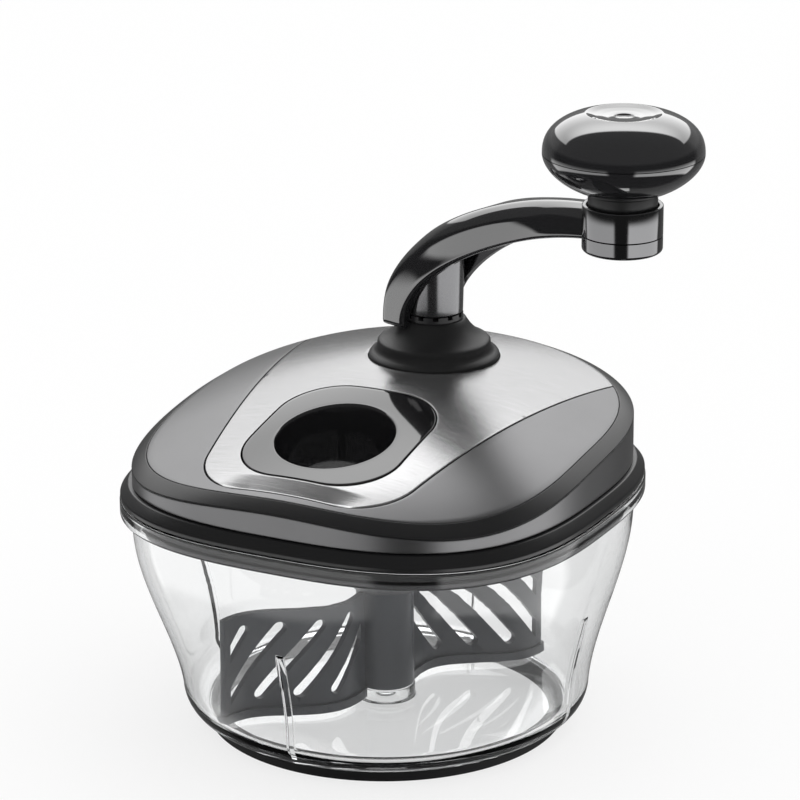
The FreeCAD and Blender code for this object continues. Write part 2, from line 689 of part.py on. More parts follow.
def trim_plate():
    """Brushed steel plate on the dome, with openings for the filler and the bell."""
    top = sizes.dome_top + 1
    plate = panel_layer(shoulder_half()).common(standing(plate_outline(0), trim_low, top))
    filler = standing(filler_outline(sizes.groove), trim_low, top)
    bell = upright(0, crank_y, sizes.bell_r + sizes.bell_gap, trim_low, top)
    piece("trim_plate", plate.cut([filler, bell]))


def filler_ring():
    """Black surround of the filler opening, in one piece with the chute under it."""
    top = sizes.dome_top + 1
    flange = standing(filler_outline(0), trim_low, top).common(dome()).cut(dome(sizes.cover_thick))
    chute = upright(0, -sizes.hole_y, chute_r, sizes.chute_bottom, top).common(dome(sizes.cover_thick / 2))
    ring = flange.fuse(chute).cut(upright(0, -sizes.hole_y, sizes.hole_r, sizes.chute_bottom, top))
    mouth = []
    for edge in ring.Edges:
        box = edge.BoundBox
        if abs(box.XMax - sizes.hole_r) < 0.01 and box.ZMin > sizes.chute_bottom + 1:
            mouth.append(edge)
    piece("filler_ring", ring.makeFillet(sizes.mouth_round, mouth))


def bell_collar():
    """Matt black bell round the crank's shaft: base, waist, ridge and cone, with a spigot below."""
    crown = sizes.dome_top
    ridge_r = sizes.bell_ridge_r
    ridge = crown + sizes.bell_ridge_rise
    bore = sizes.shaft_r + sizes.turn_gap + sizes.bush_wall
    skirt = curve([at(sizes.bell_r, crown - 0.4), at(sizes.bell_r - 1.6, crown + 1), at(ridge_r + 0.5, crown + 2.6),
                   at(ridge_r, ridge)])
    cone = curve([at(ridge_r - 0.6, ridge + 0.8), at(ridge_r - 3.6, ridge + 2.2), at(ridge_r - 7.6, ridge + 5.8),
                  at(sizes.bell_neck_r, bell_top)])
    outline = path([at(sizes.bell_r, spigot_low), at(sizes.bell_r, crown - 0.4)])
    outline += [skirt] + path([at(ridge_r, ridge), at(ridge_r - 0.6, ridge + 0.8)])
    outline += [cone] + path([at(sizes.bell_neck_r, bell_top), at(bore, bell_top), at(bore, spigot_low),
                              at(sizes.bell_r, spigot_low)])
    room = dome(shell_drop)
    room.translate(FreeCAD.Vector(0, -crank_y, 0))
    bell = spun(outline)
    hidden = room.cut(upright(0, 0, sizes.spigot_r, spigot_low - 1, sizes.dome_top))
    low_hollow = upright(0, 0, sizes.spigot_r - sizes.bell_wall, spigot_low, crown)
    low_hollow = low_hollow.cut(upright(0, 0, bore + sizes.bell_wall, spigot_low, crown))
    bell = bell.cut([hidden, low_hollow])
    on_crank_axis(piece("bell_collar", bell))


lid_frame()
side_trim()
top_cover()
trim_plate()
filler_ring()
bell_collar()


# ---------------------------------------------------------------- lid's inside and gearbox

def tangent_outline(small_r, big_r):
    """The outline round a small circle on the bowl's axis and a big one on the crank's axis."""
    lean = math.asin((big_r - small_r) / crank_y)
    normal = FreeCAD.Vector(math.cos(lean), -math.sin(lean), 0)
    mirror = FreeCAD.Vector(-normal.x, normal.y, 0)
    near, far = normal * small_r, crank_axis + normal * big_r
    near_left, far_left = mirror * small_r, crank_axis + mirror * big_r
    front = Part.Arc(near, FreeCAD.Vector(0, -small_r, 0), near_left).toShape()
    back = Part.Arc(far, FreeCAD.Vector(0, crank_y + big_r, 0), far_left).toShape()
    return Part.Wire([front, Part.makeLine(near_left, far_left), back, Part.makeLine(far, near)])


def box_radii(grow):
    """Radii of the gearbox's outline round the two gears."""
    reach = sizes.gear_module + sizes.box_clear + grow
    return (sizes.pinion_teeth * sizes.gear_module / 2 + reach, sizes.drive_teeth * sizes.gear_module / 2 + reach)


def lug_places():
    """Where the gearbox's screws stand: two beside the waist, two at the back."""
    small_r, big_r = box_radii(sizes.box_wall)
    lean = math.asin((big_r - small_r) / crank_y)
    normal = FreeCAD.Vector(math.cos(lean), -math.sin(lean), 0)
    stand = sizes.screw_r + sizes.box_wall / 2
    waist = (crank_axis + normal * (big_r - small_r)) * 0.4 + normal * (small_r + stand)
    back = (big_r + stand) * math.sqrt(0.5)
    return [(-waist.x, waist.y), (waist.x, waist.y), (back, crank_y + back), (-back, crank_y + back)]


def lid_base():
    """Floor of the lid with the plug that centres it in the bowl."""
    plug_low = lid_low - sizes.plug_depth
    floor_half = lid_half - sizes.trim_thick - sizes.wall_thick - sizes.seat_gap
    floor = lid_prism(floor_half, lid_low, base_top)
    plug = lid_prism(plug_half, plug_low, lid_low)
    plug = plug.cut(lid_prism(plug_half - sizes.plug_wall, plug_low, lid_low))
    groove_low = plug_low + sizes.seal_low
    groove = lid_prism(plug_half + 1, groove_low, groove_low + sizes.seal_height)
    groove = groove.cut(lid_prism(plug_half - sizes.seal_groove, groove_low, groove_low + sizes.seal_height))
    holes = [upright(0, -sizes.hole_y, chute_r + sizes.seat_gap, lid_low, base_top),
             upright(0, 0, sizes.journal_r + sizes.end_play, lid_low, base_top)]
    holes += [upright(x, y, sizes.screw_r, lid_low, base_top) for x, y in post_places()]
    piece("lid_base", floor.fuse(plug.cut(groove)).cut(holes))


def rim_seal():
    """Soft ring in the plug's groove."""
    low = lid_low - sizes.plug_depth + sizes.seal_low
    high = low + sizes.seal_height
    outer = bowl_half(sizes.lip_bottom) - sizes.bowl_wall - sizes.lid_gap
    ring = squarish_prism(outer, sizes.bowl_power, low, high)
    piece("rim_seal", ring.cut(lid_prism(plug_half - sizes.seal_groove, low, high)))


def gearbox_base():
    """Shallow box under the gears, with a boss for each shaft's bush and a lug for each screw."""
    outer = standing(tangent_outline(*box_radii(sizes.box_wall)), base_top, cover_low)
    inner = standing(tangent_outline(*box_radii(0)), box_top, cover_low)
    lug_r = sizes.screw_r + sizes.box_wall
    lugs = [upright(x, y, lug_r, base_top, cover_low) for x, y in lug_places()]
    bore = sizes.shaft_r + sizes.turn_gap + sizes.bush_wall
    out_bore = sizes.journal_r + sizes.turn_gap + sizes.bush_wall
    bosses = [upright(0, crank_y, bore + sizes.box_wall, base_top, boss_top),
              upright(0, 0, out_bore + sizes.box_wall, base_top, boss_top)]
    holes = [upright(0, crank_y, bore, base_top, boss_top), upright(0, 0, out_bore, base_top, boss_top)]
    holes += [upright(x, y, sizes.screw_r, cover_top - sizes.screw_length, cover_low) for x, y in lug_places()]
    piece("gearbox_base", outer.fuse(lugs).cut(inner).fuse(bosses).cut(holes))


def gearbox_cover():
    """Flat cover over the gears."""
    plate = standing(tangent_outline(*box_radii(sizes.box_wall)), cover_low, cover_top)
    lug_r = sizes.screw_r + sizes.box_wall
    plate = plate.fuse([upright(x, y, lug_r, cover_low, cover_top) for x, y in lug_places()])
    stub_bore = sizes.stub_r + sizes.turn_gap + sizes.bush_wall
    holes = [upright(0, crank_y, sizes.shaft_r + sizes.end_play, cover_low, cover_top),
             upright(0, 0, stub_bore, cover_low, cover_top)]
    holes += [upright(x, y, sizes.screw_r, cover_low, cover_top) for x, y in lug_places()]
    piece("gearbox_cover", plate.cut(holes))


def screws(label, places, seat, downward):
    """Screws with their heads on a seat, pointing down or up."""
    shapes = []
    for x, y in places:
        if downward:
            head = upright(x, y, sizes.screw_head_r, seat, seat + sizes.screw_head)
            shank = upright(x, y, sizes.screw_r, seat - sizes.screw_length, seat)
        else:
            head = upright(x, y, sizes.screw_head_r, seat - sizes.screw_head, seat)
            shank = upright(x, y, sizes.screw_r, seat, seat + sizes.screw_length)
        shapes.append(head.fuse(shank))
    return piece(label, Part.makeCompound(shapes))


def gear_outline(teeth, first):
    """Outline of an involute gear, 20 degrees, with one tooth's middle at the angle first."""
    pitch_r = teeth * sizes.gear_module / 2
    base_r = pitch_r * math.cos(math.radians(20))
    tip_r = pitch_r + sizes.gear_module
    root_r = pitch_r - 1.25 * sizes.gear_module
    start_r = max(base_r, root_r)

    def involute(radius):
        pressure = math.acos(min(base_r / radius, 1.0))
        return math.tan(pressure) - pressure

    def spot(radius, angle):
        return FreeCAD.Vector(radius * math.cos(angle), radius * math.sin(angle), 0)

    half = math.pi / (2 * teeth) - sizes.backlash / (4 * pitch_r) + involute(pitch_r)
    flank = [start_r + (tip_r - start_r) * step / 3 for step in range(4)]
    edges = []
    for tooth in range(teeth):
        middle = first + 2 * math.pi * tooth / teeth
        rising = [spot(radius, middle - half + involute(radius)) for radius in flank]
        falling = [spot(radius, middle + half - involute(radius)) for radius in reversed(flank)]
        next_start = middle + 2 * math.pi / teeth - half + involute(start_r)
        edges += [curve(rising), Part.makeLine(rising[-1], falling[0]), curve(falling)]
        last = falling[-1]
        if root_r < start_r:
            low_left = spot(root_r, middle + half - involute(start_r))
            low_right = spot(root_r, next_start)
            edges += path([last, low_left, low_right, spot(start_r, next_start)])
        else:
            edges.append(Part.makeLine(last, spot(start_r, next_start)))
    return Part.Wire(edges)


def drive_gear():
    """Large gear with a hub that is pinned to the crank shaft."""
    gear = standing(gear_outline(int(sizes.drive_teeth), -math.pi / 2), gear_low, gear_top)
    hub = upright(0, 0, sizes.hub_r, gear_low, hub_top)
    bore = upright(0, 0, sizes.shaft_r, gear_low, hub_top)
    blank = on_crank_axis(piece("drive_gear_blank", gear.fuse(hub).cut(bore)))
    boolean("Part::Cut", "drive_gear", blank, gear_pin)


def pinion():
    """Small gear with a square hole."""
    first = math.pi / 2 + math.pi / sizes.pinion_teeth
    gear = standing(gear_outline(int(sizes.pinion_teeth), first), gear_low, gear_top)
    side = sizes.square_gear / 2
    piece("pinion", gear.cut(block(side, side, gear_low, gear_top)))


def output_shaft():
    """Shaft under the pinion: upper journal, gear square, lower journal and the paddle's square."""
    square_top = lid_low - sizes.end_play
    journal_top = gear_low
    stub_top = cover_top - sizes.end_play
    side = sizes.square_drive / 2
    gear_side = sizes.square_gear / 2
    drive = block(side, side, sizes.tube_top - sizes.drive_reach, square_top)
    journal = upright(0, 0, sizes.journal_r, square_top, journal_top)
    shank = block(gear_side, gear_side, journal_top, gear_top)
    stub = upright(0, 0, sizes.stub_r, gear_top, stub_top)
    piece("output_shaft", drive.fuse([journal, shank, stub]))


def output_bushes():
    """Plain bearings of the output shaft, one in the gearbox's floor and one in its cover."""
    low_bore = sizes.journal_r + sizes.turn_gap
    high_bore = sizes.stub_r + sizes.turn_gap
    lower = tube("output_bush_low", low_bore, low_bore + sizes.bush_wall, base_top, boss_top)
    upper = tube("output_bush_high", high_bore, high_bore + sizes.bush_wall, cover_low, cover_top)
    pair = doc.addObject("Part::Compound", "output_bushes")
    pair.Links = [lower, upper]


gear_pin = rod("gear_pin", sizes.gear_pin_r, sizes.hub_r * 2)
gear_pin.Placement.Rotation = FreeCAD.Rotation(FreeCAD.Vector(0, 1, 0), 90)
place(gear_pin, (zero - sizes.hub_r).text, crank_y.text)
gear_pin.setExpression("Placement.Base.z", (gear_top + sizes.hub_rise / 2).text)
lid_base()
rim_seal()
gearbox_base()
gearbox_cover()
drive_gear()
pinion()
output_shaft()
output_bushes()
screws("gearbox_screws", lug_places(), cover_top, downward=True)
screws("lid_screws", post_places(), lid_low, downward=False)
shaft_bore = sizes.shaft_r + sizes.turn_gap
on_crank_axis(tube("lower_bush", shaft_bore, shaft_bore + sizes.bush_wall, base_top, boss_top))


# ---------------------------------------------------------------- crank's shaft, bush, sleeve

def upper_bush():
    """Bush in the bell, with a notched flange on the bell's top."""
    outer = shaft_bore + sizes.bush_wall
    body = turned("upper_bush", [(shaft_bore, spigot_low), (outer, spigot_low), (outer, bell_top),
                                 (sizes.bush_flange_r, bell_top), (sizes.bush_flange_r, bush_top),
                                 (shaft_bore, bush_top)])
    half = sizes.notch_width / 2
    low = bell_top + sizes.bush_flange / 2
    high = bush_top + sizes.bush_flange / 2
    sketch = outline_sketch(body, "notch_outline", [(zero - half, low), (half, low), (half, high),
                                                    (zero - half, high)])
    notch = body.newObject("PartDesign::Pocket", "notch")
    notch.Profile = sketch
    notch.setExpression("Length", (sizes.bush_flange_r + 1).text)
    notches = body.newObject("PartDesign::PolarPattern", "notches")
    notches.Originals = [notch]
    notches.Axis = (sketch, ["V_Axis"])
    notches.Angle = 360
    notches.setExpression("Occurrences", sizes.notch_count.text)
    body.Tip = notches
    on_crank_axis(body)


def crank_shaft():
    """Steel shaft with a clip's groove and a hole for each cross pin."""
    groove_top = spigot_low - sizes.end_play
    groove_low = groove_top - sizes.clip_thick
    neck = sizes.shaft_r - sizes.clip_depth
    blank = turned("crank_shaft_blank", [(zero, shaft_low), (sizes.shaft_r, shaft_low),
                                         (sizes.shaft_r, groove_low), (neck, groove_low), (neck, groove_top),
                                         (sizes.shaft_r, groove_top), (sizes.shaft_r, shaft_top),
                                         (zero, shaft_top)])
    on_crank_axis(blank)
    pins = boolean("Part::Fuse", "shaft_holes", gear_pin, arm_pin)
    boolean("Part::Cut", "crank_shaft", blank, pins)
    on_crank_axis(tube("shaft_clip", neck, neck + sizes.clip_width, groove_low, groove_top))


def arm_outline(inset=0.0):
    """The hood and arm seen from the side, inset from its upper outline: (along, height) edges."""
    back = quarter((sizes.arm_reach, sizes.hood_low), -(sizes.arm_reach + sizes.hood_back - inset),
                   sizes.arm_crest - sizes.hood_low - inset, sizes.crest_power)
    return curve(back), back[0], back[-1]


def arm_width(along):
    """Half width of the arm seen from above: it narrows on a smooth step."""
    share = (along - sizes.taper_start) / (sizes.taper_end - sizes.taper_start)
    share = min(max(float(share), 0.0), 1.0)
    return sizes.hood_half - (sizes.hood_half - sizes.arm_half) * share ** 2 * (3 - 2 * share)


def arm_plan(inset, start, end):
    """Prism on the arm's form seen from above, between two places along the arm."""
    stops = [start, float(sizes.taper_start)]
    stops += [sizes.taper_start + (sizes.taper_end - sizes.taper_start) * step / 6 for step in range(1, 7)]
    stops = [stop for stop in stops if stop < end - 1] + [end]
    near = [FreeCAD.Vector(stop, inset - arm_width(stop), 0) for stop in stops]
    far = [FreeCAD.Vector(point.x, -point.y, 0) for point in near]
    edges = [Part.makeLine(near[0], near[1]), curve(near[1:]), Part.makeLine(near[-1], far[-1])]
    edges += [curve(far[1:]), Part.makeLine(far[1], far[0]), Part.makeLine(far[0], near[0])]
    return standing(Part.Wire(Part.__sortEdges__(edges)), sizes.dome_top, sizes.knob_split)


def side_prism(edges):
    """A prism across the arm on an outline seen from the side."""
    face = Part.Face(Part.Wire(Part.__sortEdges__(edges)))
    face.translate(FreeCAD.Vector(0, -sizes.hood_half - 1, 0))
    return face.extrude(FreeCAD.Vector(0, 2 * sizes.hood_half + 2, 0))


def hood_room(inset):
    """The hollow under the hood's roof, between its cheeks."""
    roof, start, end = arm_outline(sizes.roof + inset)
    low = sizes.hood_low - sizes.hood_sag - 1
    under = path([end, FreeCAD.Vector(end.x, 0, low), FreeCAD.Vector(start.x, 0, low), start])
    plan = arm_plan(sizes.cheek + inset, -sizes.hood_back - 1, sizes.slot_end)
    return side_prism([roof] + under).common(plan)


def bell_room():
    """The space that the turning hood leaves round the bell's cone and the bush's flange."""
    neck = sizes.bell_neck_r + sizes.hood_clear
    slope = (sizes.bell_ridge_r - sizes.bell_neck_r) / (sizes.bell_rise - sizes.bell_ridge_rise)
    drop = sizes.bell_rise / 2
    cone = Part.makeCone(neck + slope * drop, neck, drop, FreeCAD.Vector(0, 0, bell_top - drop))
    return cone.fuse(upright(0, 0, neck, bell_top, sleeve_low))


def cap_screw_places():
    """Where the cap's screws stand, along and across the arm."""
    places = []
    for turn in (60, 180, 300):
        angle = math.radians(turn)
        places.append((sizes.arm_reach + sizes.cap_screw_r * math.cos(angle), sizes.cap_screw_r * math.sin(angle)))
    return places


def edge_width(edge):
    """How far an edge reaches along the arm."""
    return edge.BoundBox.XMax - edge.BoundBox.XMin


def crank_arm():
    """Gooseneck arm: hood with two cheeks over the sleeve, taper, and a hub inside the collar."""
    roof, start, crest = arm_outline()
    belly = quarter((sizes.arm_reach, sizes.hood_low), -(sizes.arm_reach + sizes.hood_front),
                    sizes.arm_belly - sizes.hood_low, sizes.belly_power)
    sag = FreeCAD.Vector((start.x + belly[0].x) / 2, 0, sizes.hood_low - sizes.hood_sag)
    foot = Part.Arc(start, sag, belly[0]).toShape()
    form = side_prism([roof, foot, curve(belly), Part.makeLine(belly[-1], crest)])
    form = form.common(arm_plan(0.0, -sizes.hood_back - 1, float(sizes.arm_reach)))
    foot_edges = [edge for edge in form.Edges if edge_width(edge) < 0.01 and edge.BoundBox.ZMax < sleeve_low]
    form = form.makeFillet(sizes.foot_round, foot_edges)
    long_edges = [edge for edge in form.Edges if edge_width(edge) > 0.05
                  and edge.BoundBox.XMin < sizes.arm_reach - 1 and abs(edge.CenterOfMass.y) > sizes.arm_half / 2]
    form = form.makeFillet(sizes.arm_round, long_edges)
    hub_r = sizes.collar_r - sizes.collar_wall - sizes.seat_gap
    form = form.cut([hood_room(0.0), bell_room()]).fuse(upright(sizes.arm_reach, 0, hub_r, hub_low, arm_hub_top))
    holes = [upright(sizes.arm_reach, 0, sizes.axle_r, hub_low, arm_hub_top)]
    holes += [upright(x, y, sizes.screw_r, hub_low, cap_seat + sizes.screw_length) for x, y in cap_screw_places()]
    blank = piece("crank_arm_blank", form.cut(holes), sizes.arm_turn, crank_axis)
    return boolean("Part::Cut", "crank_arm", blank, arm_pin)


def shaft_sleeve():
    """Grey sleeve pressed on the shaft; its back is flattened to fit under the hood's roof."""
    blank = on_crank_axis(turned("sleeve_blank", [(sizes.shaft_r, sleeve_low), (sizes.sleeve_low_r, sleeve_low),
                                                  (sizes.sleeve_top_r, sleeve_top), (sizes.shaft_r, sleeve_top)]))
    room = piece("sleeve_room", hood_room(sizes.seat_gap), sizes.arm_turn, crank_axis)
    fitted = boolean("Part::Common", "sleeve_fitted", blank, room)
    boolean("Part::Cut", "shaft_sleeve", fitted, arm_pin)


cap_seat = sizes.cap_low + sizes.screw_head + sizes.seam_gap
arm_pin = rod("arm_pin", sizes.arm_pin_r, sizes.hood_half * 2 - sizes.cheek / 2)
across = FreeCAD.Vector(-math.sin(arm_heading), math.cos(arm_heading), 0)
arm_pin_start = crank_axis - across * (sizes.hood_half - sizes.cheek / 2)
arm_pin_start.z = sleeve_low + sizes.arm_pin_rise
arm_pin.Placement = FreeCAD.Placement(arm_pin_start, FreeCAD.Rotation(FreeCAD.Vector(0, 0, 1), across))
upper_bush()
crank_shaft()
arm = crank_arm()
shaft_sleeve()


# ---------------------------------------------------------------- collar and knob

def arm_collar():
    """Dark chrome ring round the arm's hub, open where the arm passes."""
    low = sizes.collar_seam + sizes.seam_gap
    inner = sizes.collar_r - sizes.collar_wall
    blank = on_knob_axis(tube("collar_blank", inner, sizes.collar_r, low, sizes.collar_top))
    rounded_edge(blank, sizes.collar_r, sizes.collar_top, sizes.collar_round)
    boolean("Part::Cut", "arm_collar", blank, arm)


def collar_cap():
    """Cap under the collar, with a counterbored hole for each screw."""
    inner = sizes.collar_r - sizes.collar_wall
    floor = sizes.cap_low + sizes.cap_floor
    blank = on_knob_axis(turned("cap_blank", [(zero, sizes.cap_low), (sizes.collar_r, sizes.cap_low),
                                              (sizes.collar_r, sizes.collar_seam), (inner, sizes.collar_seam),
                                              (inner, floor), (zero, floor)]))
    rounded_edge(blank, sizes.collar_r, sizes.cap_low, sizes.cap_round)
    holes = []
    for x, y in cap_screw_places():
        holes.append(upright(x, y, sizes.screw_r, sizes.cap_low, floor))
        holes.append(upright(x, y, sizes.screw_head_r + sizes.seat_gap, sizes.cap_low, cap_seat))
    drilled = piece("cap_holes", holes[0].fuse(holes[1:]), sizes.arm_turn, crank_axis)
    boolean("Part::Cut", "collar_cap", boolean("Part::Cut", "cap_drilled", blank, drilled), arm)


def half_section(rise, power, inset, inner_r):
    """Outline of one half of the knob: a quarter superellipse that stops at an inner radius."""
    reach = sizes.knob_r - inset
    stop = math.acos((inner_r / reach) ** (power / 2))
    points = []
    for step in range(9):
        angle = stop * step / 8
        height = abs(rise) - inset
        lift = math.copysign(height * math.sin(angle) ** (2 / power), rise)
        points.append(at(reach * math.cos(angle) ** (2 / power), sizes.knob_split + lift))
    return points


def knob_piece(label, shape):
    """A piece turned about the knob's axis."""
    return on_knob_axis(piece(label, shape))


def knob_top():
    """Upper half of the knob: shell with a shallow dish and a dimple."""
    rim = sizes.knob_seam / 2
    outer = half_section(sizes.knob_rise, sizes.knob_power, 0.0, sizes.dish_r)
    outer[0].z += rim
    inner = half_section(sizes.knob_rise, sizes.knob_power, sizes.knob_wall, sizes.dish_r)
    inner[0].z += rim
    top = outer[-1].z
    dish = top - sizes.dish_depth
    ceiling = dish - sizes.dimple_depth - sizes.knob_wall
    bowl_arc = curve([at(sizes.dish_r, top), at((sizes.dish_r + sizes.dimple_r) / 2, dish + sizes.dish_depth * 0.3),
                      at(sizes.dimple_r, dish)])
    edges = [curve(outer), bowl_arc, curve(inner)]
    edges += path([at(sizes.dimple_r, dish), at(sizes.dimple_r * 0.8, dish - sizes.dimple_depth),
                   at(0, dish - sizes.dimple_depth), at(0, ceiling), at(sizes.dish_r * 0.8, ceiling), inner[-1]])
    edges.append(Part.makeLine(inner[0], outer[0]))
    knob_piece("knob_top", spun(edges))


def knob_base():
    """Lower half of the knob: shell with the hub that holds the bushes."""
    rim = sizes.knob_seam / 2
    drop = sizes.knob_low - sizes.knob_split
    outer = half_section(drop, sizes.base_power, 0.0, sizes.neck_r)
    outer[0].z -= rim
    inner = half_section(drop, sizes.base_power, sizes.knob_wall, sizes.knob_hub_r)
    inner[0].z -= rim
    edges = [curve(outer), curve(inner), Part.makeLine(inner[0], outer[0])]
    edges += path([outer[-1], at(knob_bore, outer[-1].z), at(knob_bore, sizes.knob_hub_top),
                   at(sizes.knob_hub_r, sizes.knob_hub_top), inner[-1]])
    knob_piece("knob_base", spun(edges))
    neck = spun(path([at(knob_bore, neck_low), at(sizes.neck_r, neck_low), at(sizes.neck_r, outer[-1].z),
                      at(knob_bore, outer[-1].z), at(knob_bore, neck_low)]))
    knob_piece("knob_neck", neck)


def knob_bushes():
    """Plain bearings at both ends of the knob's hub."""
    bore = sizes.axle_r + sizes.turn_gap
    lower = tube("knob_bush_low", bore, knob_bore, neck_low, neck_low + sizes.knob_bush)
    upper = tube("knob_bush_high", bore, knob_bore, sizes.knob_hub_top - sizes.knob_bush, sizes.knob_hub_top)
    pair = doc.addObject("Part::Compound", "knob_bushes")
    pair.Links = [on_knob_axis(lower), on_knob_axis(upper)]


def knob_axle():
    """Steel axle pressed in the arm's hub, with a groove for the clip above the knob's hub."""
    groove_low = sizes.knob_hub_top + sizes.end_play
    groove_top = groove_low + sizes.clip_thick
    neck = sizes.axle_r - sizes.clip_depth
    on_knob_axis(turned("knob_axle", [(zero, hub_low), (sizes.axle_r, hub_low), (sizes.axle_r, groove_low),
                                      (neck, groove_low), (neck, groove_top), (sizes.axle_r, groove_top),
                                      (sizes.axle_r, groove_top + sizes.clip_depth),
                                      (zero, groove_top + sizes.clip_depth)]))
    on_knob_axis(tube("knob_clip", neck, neck + sizes.clip_width, groove_low, groove_top))


knob_bore = sizes.axle_r + sizes.turn_gap + sizes.knob_bush_wall
arm_collar()
collar_cap()
knob_top()
knob_base()
knob_bushes()
knob_axle()
cap_screws = screws("cap_screws", cap_screw_places(), cap_seat, downward=False)
cap_screws.Placement = FreeCAD.Placement(crank_axis, FreeCAD.Rotation(FreeCAD.Vector(0, 0, 1), sizes.arm_turn))


# ---------------------------------------------------------------- paddle

def ribbon(half, low, high):
    """A wing's band from the tube to its tip, swinging sideways on a sine, at a half thickness."""
    left = []
    right = []
    stops = 12
    for step in range(stops + 1):
        along = sizes.tube_r / 2 + (sizes.wing_tip - sizes.tube_r / 2) * step / stops
        phase = 2 * math.pi * (along - sizes.wing_root) / sizes.wing_wave
        side = sizes.wing_swing * math.sin(phase)
        slope = sizes.wing_swing * 2 * math.pi / sizes.wing_wave * math.cos(phase)
        normal = FreeCAD.Vector(-slope, 1, 0).normalize()
        middle = FreeCAD.Vector(along, side, 0)
        left.append(middle + normal * half)
        right.append(middle - normal * half)
    ahead = FreeCAD.Vector(normal.y, -normal.x, 0)
    tip = Part.Arc(left[-1], middle + ahead * half, right[-1]).toShape()
    edges = [curve(left), tip, curve(right), Part.makeLine(right[0], left[0])]
    return standing(Part.Wire(Part.__sortEdges__(edges)), low, high)


def wing_slots():
    """Leaning slots through a wing, clipped to a window between its tip and the tube."""
    middle_z = (sizes.slot_low + sizes.slot_high) / 2
    length = (sizes.slot_high - sizes.slot_low - sizes.slot_width) / math.cos(math.radians(sizes.slot_lean))
    radius = sizes.slot_width / 2
    depth = 2 * sizes.tube_r
    across_y = FreeCAD.Vector(0, 1, 0)
    slots = []
    for number in range(int(sizes.slot_count)):
        middle = FreeCAD.Vector(sizes.slot_first + sizes.slot_pitch * number, 0, middle_z)
        bar = Part.makeBox(2 * radius, depth, length, FreeCAD.Vector(-radius, -depth / 2, -length / 2))
        ends = [Part.makeCylinder(radius, depth, FreeCAD.Vector(0, -depth / 2, side * length / 2), across_y)
                for side in (-1, 1)]
        slot = bar.fuse(ends)
        slot.rotate(FreeCAD.Vector(), across_y, -sizes.slot_lean)
        slot.translate(middle)
        slots.append(slot)
    inner = sizes.tube_r + sizes.slot_margin
    window = Part.makeBox(sizes.wing_tip - sizes.slot_margin - inner, depth, sizes.slot_high,
                          FreeCAD.Vector(inner, -depth / 2, 0))
    return slots[0].fuse(slots[1:]).common(window)


def paddle():
    """Tube with two S-shaped slotted wings, a bore for the bowl's pin and a square socket on top."""
    wing = ribbon(sizes.wing_thick / 2, sizes.wing_low, sizes.wing_top).cut(wing_slots())
    wing = wing.fuse(ribbon(sizes.foot_rib / 2, sizes.wing_low, sizes.wing_low + sizes.foot_rib_height))
    other = wing.copy()
    other.rotate(FreeCAD.Vector(), FreeCAD.Vector(0, 0, 1), 180)
    body = upright(0, 0, sizes.tube_r, paddle_low, sizes.tube_top).fuse([wing, other])
    body = body.cut(upright(0, 0, sizes.boss_r + sizes.paddle_gap, zero, paddle_low))
    body.rotate(FreeCAD.Vector(), FreeCAD.Vector(0, 0, 1), sizes.wing_turn)
    side = sizes.square_drive / 2 + sizes.drive_clear
    socket_low = sizes.tube_top - sizes.drive_reach - sizes.end_play
    socket = block(side, side, socket_low, sizes.tube_top)
    bore = upright(0, 0, sizes.pin_r + sizes.turn_gap, paddle_low, sizes.pin_top + sizes.end_play)
    piece("paddle", body.cut([socket, bore]))


paddle()
tube("hub_sleeve", sizes.tube_r, sizes.tube_r + sizes.ring_wall, sizes.wing_top + sizes.end_play, sizes.ring_top)


# ---------------------------------------------------------------- check and write

NODES = [
    "bowl", "foot_ring", "lid_frame", "side_trim", "top_cover", "trim_plate", "filler_ring", "bell_collar",
    "lid_base", "rim_seal", "gearbox_base", "gearbox_cover", "drive_gear", "pinion", "output_shaft",
    "output_bushes", "lower_bush", "upper_bush", "gearbox_screws", "lid_screws", "crank_shaft", "shaft_clip",
    "gear_pin", "shaft_sleeve", "crank_arm", "arm_pin", "arm_collar", "collar_cap", "cap_screws", "knob_top",
    "knob_base", "knob_neck", "knob_bushes", "knob_axle", "knob_clip", "paddle", "hub_sleeve",
]

doc.recompute()
for thing in doc.Objects:
    if "Invalid" in thing.State or "Error" in thing.State:
        raise SystemExit(thing.Label + " did not build")
os.makedirs("parts", exist_ok=True)
for node in NODES:
    shape = doc.getObjectsByLabel(node)[0].Shape
    if shape.isNull() or not shape.isValid():
        raise SystemExit(node + " has no valid shape")
    shape.exportStep("parts/" + node + ".step")
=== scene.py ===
import bpy
import bmesh
import math
import numpy as np
from mathutils import Matrix, Vector


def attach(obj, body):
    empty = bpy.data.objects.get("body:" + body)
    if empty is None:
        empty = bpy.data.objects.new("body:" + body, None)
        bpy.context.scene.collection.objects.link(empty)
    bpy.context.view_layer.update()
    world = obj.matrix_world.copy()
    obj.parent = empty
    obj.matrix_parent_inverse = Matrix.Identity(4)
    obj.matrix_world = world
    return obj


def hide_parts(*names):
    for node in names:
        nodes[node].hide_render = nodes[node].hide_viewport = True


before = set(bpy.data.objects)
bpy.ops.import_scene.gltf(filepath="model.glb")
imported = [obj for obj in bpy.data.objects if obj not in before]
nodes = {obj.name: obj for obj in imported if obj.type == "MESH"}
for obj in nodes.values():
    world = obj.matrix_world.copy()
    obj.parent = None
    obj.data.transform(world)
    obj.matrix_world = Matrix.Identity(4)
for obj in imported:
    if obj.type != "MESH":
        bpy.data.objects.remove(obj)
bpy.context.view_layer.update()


# ---------------------------------------------------------------- bowl
# Clear food bowl of hard plastic, moulded in one piece: a round foot that widens to a squarish rim with a
# lip, four upright ribs inside the wall, and on the floor a ring and the pin that the paddle turns on.

